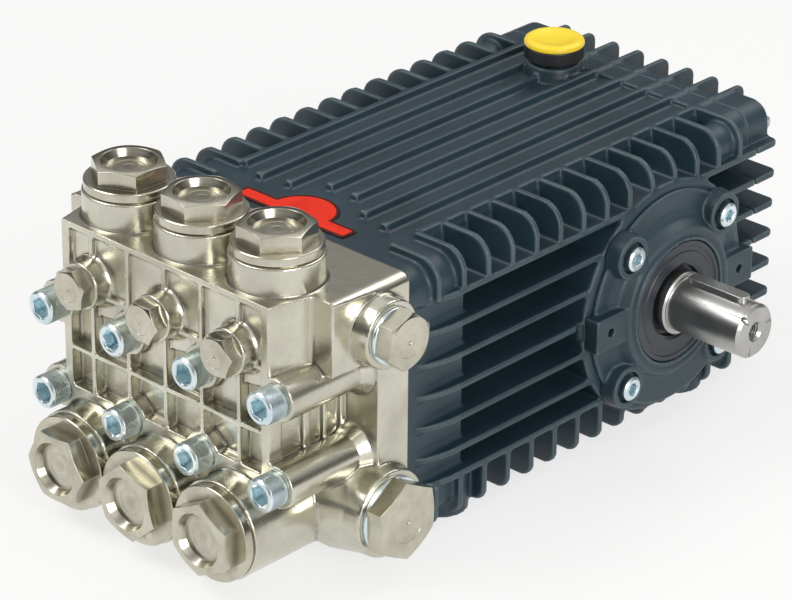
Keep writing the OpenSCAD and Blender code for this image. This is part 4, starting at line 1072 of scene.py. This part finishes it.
oil_window = make_oil_window()
low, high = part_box("sight_glass")
depth = high[1] - low[1]
window_seat = Vector((0, low[1], shaft_middle.z))
rings = [(0, 0), (WINDOW_RADIUS, 0), (WINDOW_RADIUS, depth * 0.62), (WINDOW_RADIUS * 0.93, depth * 0.80),
         (WINDOW_RADIUS * 0.7, depth * 0.93), (WINDOW_RADIUS * 0.4, depth * 0.985), (0, depth)]
window = turned_piece("sight_glass_dome", rings, Matrix.Translation(window_seat) @ BACKWARDS, oil_window,
                      edge=0.0)
stand_for(window, "sight_glass")

low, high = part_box("sight_glass_ring")
depth = high[1] - low[1]
ring_seat = Vector((0, low[1], shaft_middle.z))
rings = [(0, 0), (RING_RADIUS, 0), (RING_RADIUS, depth - 0.0008), (RING_RADIUS - 0.0008, depth),
         (WINDOW_RADIUS + 0.0024, depth), (WINDOW_RADIUS + 0.0016, depth - 0.0006),
         (WINDOW_RADIUS + 0.0006, depth - 0.0006), (WINDOW_RADIUS + 0.00005, depth - 0.0012),
         (WINDOW_RADIUS + 0.00005, 0.003), (0, 0.003)]
ring = turned_piece("sight_glass_ring_turned", rings, Matrix.Translation(ring_seat) @ BACKWARDS, zinc_steel)
stand_for(ring, "sight_glass_ring")

low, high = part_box("drain_plug")
plug_seat = middle("drain_plug")
plug_seat.y = high[1] - DRAIN_HEIGHT
stub = plug_seat.y - low[1]
rings = [(0, -stub), (DRAIN_STUB - 0.0005, -stub), (DRAIN_STUB, -stub + 0.0005), (DRAIN_STUB, 0)]
rings += hexagon_rings(DRAIN_FLATS, 0, DRAIN_HEIGHT, 0) + [(0, DRAIN_HEIGHT)]
plug = turned_piece("drain_plug_turned", rings, Matrix.Translation(plug_seat) @ BACKWARDS, zinc_steel)
stand_for(plug, "drain_plug")

# Threads
# The two open ports of the far side take pipe fittings and the shaft's centre hole takes a
# screw, so all three are tapped. Each thread is a ridge wound along the wall of its hole.
THREAD_DEPTH = 0.55
PORT_MOUTH = (-0.1035, -0.162)
PORT_THREADS = (("outlet_port_thread", 0.1321, 0.0105, 0.0018, 0.014),
                ("inlet_port_thread", 0.0325, 0.0166, 0.0023, 0.013))
CENTRE_PITCH = 0.00125
CENTRE_THREAD_LENGTH = 0.013


def cut_thread(name, mouth, facing, radius, pitch, length, material, body="pump", sides=40):
    """The ridge of a tapped hole's thread, wound along the wall from near the mouth inwards."""
    shape = bmesh.new()
    layer = shape.loops.layers.uv.new("section")
    crest = radius - pitch * THREAD_DEPTH
    rows = []
    for i in range(round(length / pitch * sides) + 1):
        angle = 2 * math.pi * i / sides
        z = pitch * (0.9 + i / sides)
        fade = min(1.0, i / (sides * 0.5))
        inner = radius + (crest - radius) * fade
        rows.append([shape.verts.new((r * math.cos(angle), r * math.sin(angle), z + shift))
                     for r, shift in ((radius + 0.0003, -pitch * 0.48), (inner, 0.0),
                                      (radius + 0.0003, pitch * 0.48))])
    for below, above in zip(rows, rows[1:]):
        for j in range(3):
            k = (j + 1) % 3
            shape.faces.new((below[j], below[k], above[k], above[j]))
    shape.faces.new(rows[0][::-1])
    shape.faces.new(rows[-1])
    for face in shape.faces:
        for loop in face.loops:
            loop[layer].uv = (0.0, loop.vert.co.z * MARKS_SCALE)
    bmesh.ops.recalc_face_normals(shape, faces=shape.faces)
    shape.transform(Matrix.Translation(mouth) @ facing)
    piece = finish_shape(shape, name, material)
    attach(piece, body)


for name, height, radius, pitch, length in PORT_THREADS:
    cut_thread(name, (*PORT_MOUTH, height), SIDEWAYS, radius, pitch, length, plated_casting)
cut_thread("shaft_end_thread", (shaft_high[0], shaft_middle.y, shaft_middle.z), SIDEWAYS.inverted(),
           CENTRE_HOLE, CENTRE_PITCH, CENTRE_THREAD_LENGTH, turned_steel, "crankshaft", 24)
